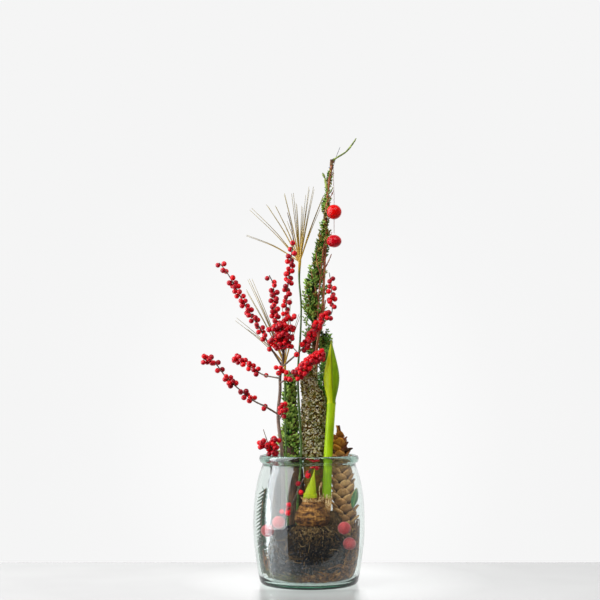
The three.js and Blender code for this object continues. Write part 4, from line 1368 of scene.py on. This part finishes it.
def makeFirSprig():
    rand = random.Random(79)
    path = Path(firSprig["route"], 8)
    wood = stem("fir_wood", firSprig, 8, 8, barkFinish("firBark", "#3a2716", "#6b4a2a", "#8c6d44"))
    needle = needleTemplate()
    spots = []
    for i in range(firSprig["needles"]):
        share = 0.04 + 0.95 * ((i + 0.5) / firSprig["needles"]) ** 1.45
        centre, axis = path.at(share)
        turn = rand.gauss(0, 2.6 if share < firSprig["bushy"] else 0.9)
        side = Vector((math.cos(turn), math.sin(turn) - 0.25, 0))
        along = side + axis * rand.uniform(-1.3, 0.9)
        spots.append((framed(centre, along, axis, rand.uniform(0.55, 0.9)), rand.random()))
    for i in range(firSprig["combs"]):  # the needles towards the glass stand in bunches
        centre, axis = path.at((i + 0.7) / firSprig["combs"])
        for _ in range(firSprig["bunch"]):
            along = Vector((-1, rand.uniform(-0.5, 0.5), 0)) - axis * rand.uniform(0.85, 1.15)
            root = centre + axis * rand.uniform(-0.0006, 0.0006)
            spots.append((framed(root, along, axis, rand.uniform(0.85, 1.0)), rand.random()))
    needles = copies("fir_needles", needle, spots,
                     leafFinish("firGreen", "#062a0c", "#144c16", "#3c7a2c", "#5a4a1e", 0.0))
    bpy.data.objects.remove(needle)
    place(keepInJar(joined("fir_sprig_needles", wood, needles)), "conifer", "fir_sprig")


makeLichenStick()
makeBark()
sprig = sprigTemplate(random.Random(59))
makeConifer(column, sprig)
makeConifer(spire, sprig, spireTwigs())
makeConifer(backSprig, sprig)
bpy.data.objects.remove(sprig)
makeFirSprig()
print("conifers, bark and lichen stick ready")

tallFan = {
    "name": "tall_fan_needles", "node": "needle_fan_tall", "seed": 83,
    "route": [(-20, -2, 40), (-18, -3, 110), (-12, -7, 196), (-17, -7, 313), (-13, -4, 378),
              (-12, -1, 421), (-15, 1, 464), (-14, 2, 492)],
    "radii": [1.9, 1.9, 1.8, 1.6, 1.4, 1.5, 2.4],
    "hub": (-14, 2, 489),
    "tips": [(-97, 24, 534), (-90, 34, 578), (-67, 44, 585), (-53, 34, 582), (-38, 26, 600),
             (-20, 34, 586), (-11, 52, 584), (-5, -22, 590), (0, -34, 601), (7, -20, 603),
             (22, -16, 590), (16, -30, 573), (-24, -4, 596), (-34, 56, 560)],
}
lowFan = {
    "name": "low_fan_needles", "node": "needle_fan_low", "seed": 89,
    "route": [(-31, 2, 40), (-34, 1, 150), (-36, 1, 250), (-37, 4, 334)],
    "radii": [1.6, 1.6, 1.5, 2.0],
    "hub": (-37, 4, 331),
    "tips": [(-112, 20, 404), (-96, 34, 387), (-98, 40, 450), (-94, 54, 468), (-89, 30, 466),
             (-42, 50, 430), (-29, 44, 436), (-15, 10, 410), (-60, 52, 448)],
}


def needleFinish(fan):
    # gold at the sheath, thinning to pale straw at the tips
    f = Finish(fan["name"] + "Gold", 0.5)
    hub = tuple(c * mm for c in fan["hub"])
    reach = f.node("VectorMath", {"operation": "DISTANCE"}, {0: f.place, 1: hub}, "Value")
    shade = f.ramp(reach / 0.12, (0.0, "#bc9408"), (0.3, "#9c7e12"), (0.62, "#6c5a1e"),
                   (1.0, "#9a8848"))
    green = f.ramp(f.noise(0.004, 2, 0.5), (0.3, "#2c4410"), (0.7, "#5c7c2c"))
    f.set(Base_Color=f.mix(f.span("Z", hub[2] - 0.004, hub[2] - 0.02), shade, green))
    f.bump(f.noise(0.0008, 2), 0.0002)
    return f


def makeFan(fan):
    rand = random.Random(fan["seed"])
    runs = [(Path(fan["route"], 6).points, fan["radii"])]
    for tip in fan["tips"]:
        start, end = Vector(fan["hub"]), Vector(tip)
        for twin in range(2):
            spread = Vector((rand.uniform(-3, 3), rand.uniform(-3, 3), rand.uniform(-5, 0))) * twin
            last = end + spread
            middle = start.lerp(last, 0.5) + Vector((0, 0, 5)) + spread * 0.2
            route = [start, start.lerp(middle, 0.5) + Vector((0, 0, 1)), middle, last]
            runs.append((Path(route, 4).points, [0.95, 0.78, 0.6, 0.3]))
    place(tubes(fan["name"], runs, 6, needleFinish(fan)), "needle_gold", fan["node"])


makeFan(tallFan)
makeFan(lowFan)
print("needle fans ready")

holly = {
    "berryRadius": 4.1,
    "berriesEach": (1.2, 1.9),  # berries for each one listed in a clump, and in a dense clump
    "apart": (0.024, 0.016),  # share of the spray from one berry to the next
    "longStalk": 0.85,  # some in a dense clump stand on a longer stalk
    "trunk": [(-38, -8, 26), (-39, -10, 100), (-41, -12, 196), (-47, -12, 251), (-44, -12, 292),
              (-44, -12, 313), (-40, -12, 335), (-39, -13, 356)],
    "trunkRadii": [3.1, 3.0, 2.9, 2.6, 2.4, 2.2, 1.8],
    "palerBelow": (0.31, 0.24),
    "paintedShadeBelow": (0.2, 0.18),
}
# each spray: route, radii along it, clumps of (place along, berries), and whether they are dense
hollySprays = [
    ([(-40, -12, 335), (-37, -13, 368), (-35, -14, 414), (-34, -15, 432), (-27, -18, 498),
      (-24, -19, 520), (-27, -20, 541), (-33, -21, 563)],
     [1.9, 1.5, 1.3, 1.0, 0.7],
     [(0.2, 3), (0.27, 4), (0.36, 3), (0.44, 3), (0.5, 4), (0.57, 3), (0.63, 3), (0.7, 4),
      (0.79, 1)], False),
    ([(-42, -12, 330), (-58, -16, 356), (-78, -22, 391), (-94, -26, 415), (-114, -31, 452),
      (-126, -34, 472), (-136, -36, 484)],
     [1.8, 1.4, 1.1, 0.8],
     [(0.18, 2), (0.3, 3), (0.4, 4), (0.49, 3), (0.57, 4), (0.66, 4), (0.74, 3), (0.8, 3), (0.92, 2),
      (0.98, 2)], False),
    ([(-39, -13, 350), (-45, -24, 376), (-51, -32, 402), (-53, -38, 428), (-54, -44, 451),
      (-60, -48, 464)],
     [1.6, 1.3, 1.0, 0.8],
     [(0.1, 3), (0.2, 5), (0.3, 5), (0.42, 5), (0.54, 4), (0.66, 3), (0.76, 3), (0.88, 2),
      (0.98, 1)], False),
    ([(-48, -13, 256), (-68, -24, 268), (-82, -30, 275), (-99, -38, 288), (-124, -48, 311),
      (-143, -54, 334), (-158, -58, 338)],
     [1.8, 1.4, 1.1, 0.8],
     [(0.16, 2), (0.32, 2), (0.42, 5), (0.6, 3), (0.66, 3), (0.78, 2), (0.9, 4), (0.98, 3)], False),
    ([(-45, -11, 310), (-69, 2, 315), (-85, 12, 324), (-96, 20, 332), (-115, 30, 342)],
     [1.6, 1.2, 0.8], [(0.3, 1), (0.48, 3), (0.66, 3), (0.82, 4), (0.96, 5)], False),
    ([(-40, -13, 328), (-17, -18, 348), (-3, -17, 363), (6, -16, 379), (14, -15, 392), (24, -14, 403),
      (34, -12, 408), (35, -11, 429), (34, -10, 453), (31, -9, 472)],
     [1.7, 1.4, 1.2, 0.9, 0.7],
     [(0.16, 1), (0.28, 4), (0.34, 6), (0.4, 6), (0.46, 6), (0.52, 5), (0.6, 3), (0.73, 3), (0.82, 5),
      (0.93, 2)], False),
    ([(-43, -13, 303), (-29, -26, 312), (-15, -30, 319), (-2, -30, 333), (10, -29, 342),
      (21, -27, 347)],
     [1.6, 1.3, 0.9], [(0.22, 2), (0.4, 4), (0.52, 4), (0.66, 5), (0.8, 6), (0.95, 5)], True),
    ([(-45, -13, 248), (-40, -21, 258), (-37, -25, 270)],
     [1.5, 1.0], [(0.35, 2), (0.7, 3), (0.98, 2)], False),
    ([(-34, -14, 368), (-24, -17, 356), (-14, -19, 346)],
     [0.9, 0.8], [], False),
    ([(-38.8, -18, 348), (-47, -24, 360), (-54.6, -28, 373.6), (-57, -30, 386)],
     [1.1, 0.7], [(0.3, 3), (0.6, 3), (0.95, 2)], True),
    ([(-37, -20, 353), (-31, -26, 367.6), (-28, -28, 386), (-30, -28, 404)],
     [1.1, 0.7], [(0.15, 3), (0.4, 3), (0.65, 3), (0.95, 3)], True),
    ([(-39.5, -20, 360), (-42.4, -34, 379), (-45, -36, 397)],
     [1.1, 0.7], [(0.2, 3), (0.5, 4), (0.8, 3)], True),
    ([(-43.7, -14, 313), (-44.8, -18, 321), (-45.6, -20, 327)],
     [1.0, 0.7], [(0.5, 2), (0.95, 2)], False),
]
rimSprays = [
    ([(-49, -15, 56), (-52, -16, 110), (-54, -20, 192), (-56, -25, 204), (-64, -29, 211),
      (-74, -32, 211)],
     [1.6, 1.5, 1.3, 1.0], [(0.8, 3), (0.88, 4), (0.97, 4)], True),
    ([(-56, -25, 204), (-51, -27, 212), (-49, -28, 220)],
     [1.1, 0.9], [(0.3, 2), (0.85, 2)], True),
    ([(-61, -27.5, 209), (-65, -28, 221), (-69, -30, 233)],
     [0.9, 0.6], [], False),
]
jarSprays = [
    ([(-41, -50, 105), (-33, -43, 112), (-26, -34, 122), (-14, -22, 146), (-7, -19, 160), (4, -18, 172),
      (13, -19, 181)],
     [1.3, 1.2, 0.9], [(0.08, 2), (0.2, 2), (0.5, 1), (0.6, 1), (0.78, 2), (0.95, 3)], False),
]


def berryFinish():
    # waxy red skin: tone makes some berries deeper, a dark point at the end
    f = Finish("berrySkin", 0.3, Coat_Weight=0.05, Coat_Roughness=0.2, Subsurface_Weight=0.08,
               Subsurface_Radius=(1.0, 0.2, 0.1), Subsurface_Scale=0.0015, Specular_IOR_Level=0.22)
    cloud = f.noise(0.004, 2)
    shade = f.ramp(f.attribute("tone") * 0.7 + cloud * 0.3,
                   (0.12, "#90021a"), (0.42, "#c4061e"), (0.8, "#ea0c18"))
    f.set(Base_Color=f.mix(f.attribute("tip"), shade, "#2a0d08"), Roughness=0.26 + cloud * 0.16)
    f.bump(f.noise(0.0014, 2), 0.00015)
    return f


def twigFinish():
    f = Finish("hollyTwig", 0.7)
    streak = f.noise(0.0025, 3, 0.6, (1, 1, 0.25))
    pores = f.noise(0.0011, 2, 0.5, (1, 1, 0.7))
    shade = f.ramp(streak, (0.3, "#33261f"), (0.5, "#5f4a3c"), (0.7, "#8a725e"))
    shade = f.mix(f.span("Z", *holly["palerBelow"]) * 0.4, shade, "#a58878")
    # painted shade: the twigs much darker below the jar's rim, inside the jar
    shade = f.mix(f.span("Z", *holly["paintedShadeBelow"]) * 0.75, shade, "#20150f")
    f.set(Base_Color=f.mix(f.between(pores, 0.64, 0.72), shade, "#c9b8a6"))
    f.bump(streak + pores, 0.0006)
    return f


def berryTemplate():
    radius = holly["berryRadius"] * mm
    berry = addBall("berry", holly["berryRadius"], 10, 8)
    with editing(berry, "faces", lambda face: face.calc_center_median().z > radius * 0.9):
        bpy.ops.mesh.inset(thickness=0.0007, depth=-0.0003)
    shadeSmooth(berry)
    setLayer(berry, "tip", [
        1.0 if vertex.co.z > 0 and math.hypot(vertex.co.x, vertex.co.y) < radius * 0.22 else 0.0
        for vertex in berry.data.vertices])
    return berry


def berrySpots(route, clumps, dense, rand):
    path = Path(route)
    radius = holly["berryRadius"] * mm
    spots = []
    turn = rand.uniform(0, math.tau)
    for spot, listed in clumps:
        count = round(listed * holly["berriesEach"][dense])
        for i in range(count):
            centre, direction = path.at(spot + (i - (count - 1) / 2) * holly["apart"][dense])
            side = sideways(direction, turn)
            outer = holly["longStalk"] if dense and i % 3 == 2 else 0
            at = centre + side * (radius * (1 + outer) + rand.uniform(0.3, 1.0) * mm)
            size = rand.uniform(0.9, 1.08)
            spots.append((framed(at, side + direction * 0.3, direction, size), rand.random()))
            turn += goldenAngle
    return spots


def makeHolly(name, sprays, node, seed, extra=()):
    rand = random.Random(seed)
    runs = []
    for route, radii, clumps, dense in sprays:
        points = Path(route, 8).points
        radii = [station(radii, i / len(points)) * rand.uniform(0.7, 0.98)
                 for i in range(len(points) + 1)]
        runs.append((points, radii))
    twigs = tubes(name + "_twigs", runs + list(extra), 8, twigFinish())
    spots = []
    for route, radii, clumps, dense in sprays:
        spots += berrySpots(route, clumps, dense, rand)
    berry = berryTemplate()
    berries = copies("berries", berry, spots, berryFinish())
    bpy.data.objects.remove(berry)
    place(keepInJar(joined(name, twigs, berries)), "holly", node)
    print(name, len(spots), "berries")


trunk = (Path(holly["trunk"], 10).points, holly["trunkRadii"])
makeHolly("holly_branch_berries", hollySprays, "holly_branch", 97, [trunk])
makeHolly("holly_rim_berries", rimSprays, "holly_sprig_at_rim", 101)
makeHolly("holly_jar_berries", jarSprays, "holly_sprig_in_jar", 103)
print("holly ready")

jarBaubles = {
    "radius": 9.4,
    "spots": {
        "right_upper": (51.2, -49.2, 88), "right_lower": (59, -37.7, 64),
        "left_front": (-44.6, -55, 97), "left_back": (-61, -35.6, 83),
    },
}
leaf = {
    "centre": (67.2, -28.8, 130), "length": 28, "width": 9.4, "thick": 0.9,
    "turnY": 0.2, "turnZ": 0.25,
}
wire = {
    "ringAt": (34.8, 8.3, 638), "ringRadius": 3.6, "radius": 0.5, "pitch": 1.2,
    "end": [(37.6, 10.6, 638), (41, 12, 650), (45, 13, 661), (49, 13, 671)],
}


def matteBaubleFinish():
    f = Finish("frostedRed", 0.55, Sheen_Weight=0.3)
    speck = f.noise(0.0013, 3, 0.7)
    shade = f.ramp(f.noise(0.007, 2), (0.3, "#960612"), (0.7, "#b81020"))
    f.set(Base_Color=f.mix(f.between(speck, 0.56, 0.7) * 0.7, shade, "#cc4a50"))
    f.bump(speck, 0.0004)
    return f


def makeJarBaubles():
    finish = matteBaubleFinish()
    for i, (spot, at) in enumerate(jarBaubles["spots"].items()):
        ball = addBall("frosted_ball_" + spot, jarBaubles["radius"], 36, 22)
        shadeSmooth(ball)
        ball.data.transform(Matrix.Rotation(0.6 * i, 4, "X"))
        roughen(ball, 5, 0.4, 2, 0.1 * i)
        ball.data.transform(Matrix.Translation(Vector(at) * mm))
        place(wear(ball, finish), "bauble_matte", "bauble_in_jar_" + spot)


def greenLeafFinish():
    f = Finish("leafGreen", 0.4)
    vein = f.attribute("vein")
    cloud = f.noise(0.006, 3)
    shade = f.ramp(cloud, (0.3, "#17401f"), (0.7, "#2f6a31"))
    f.set(Base_Color=f.mix(vein * 0.7, shade, "#7fa35c"))
    f.bump(cloud - vein, 0.0004)
    return f


def makeLeaf():
    blade = addShape(bpy.ops.mesh.primitive_grid_add, "leaf_blade", x_subdivisions=8,
                     y_subdivisions=16, size=1)
    veins = []
    for vertex in blade.data.vertices:
        across, t = vertex.co.x * 2, vertex.co.y + 0.5
        half = leaf["width"] / 2 * math.sin(math.pi * (0.02 + 0.96 * t)) ** 0.75 * mm
        side = math.exp(-((t * 7 - abs(across) * 1.2) % 1 - 0.5) ** 2 / 0.01) * 0.4
        veins.append(max(math.exp(-(across / 0.16) ** 2), side))
        vertex.co = (across * half, 0.0012 * across ** 2 - 0.0006, (t - 0.5) * leaf["length"] * mm)
    setLayer(blade, "vein", veins)
    thicken(blade, leaf["thick"] * mm)
    shadeSmooth(blade)
    turn = Matrix.Rotation(leaf["turnZ"], 4, "Z") @ Matrix.Rotation(leaf["turnY"], 4, "Y")
    blade.data.transform(Matrix.Translation(Vector(leaf["centre"]) * mm) @ turn)
    place(wear(blade, greenLeafFinish()), "leaf", "green_leaf")


def wireFinish():
    f = Finish("greyWire", 0.35, Metallic=0.9)
    grain = f.noise(0.0016, 3)
    f.set(Base_Color=f.ramp(grain, (0.3, "#5f6166"), (0.7, "#9a9ca1")), Roughness=0.3 + grain * 0.2)
    return f


def makeWire():
    radius = wire["ringRadius"] * mm
    turns = []
    for i in range(37):  # twice round the tip
        turn = i / 18 * math.tau
        turns.append(Vector(wire["ringAt"]) * mm + Vector((
            math.cos(turn) * radius, math.sin(turn) * radius, (i / 36 - 0.5) * wire["pitch"] * mm)))
    end = (Path(wire["end"], 6).points, [0.5, 0.45, 0.4])
    piece = tubes("tie_wire", [(turns, [wire["radius"]] * 2), end], 6, wireFinish())
    place(piece, "wire", "binding_wire")


makeJarBaubles()
makeLeaf()
makeWire()
print("small pieces ready")
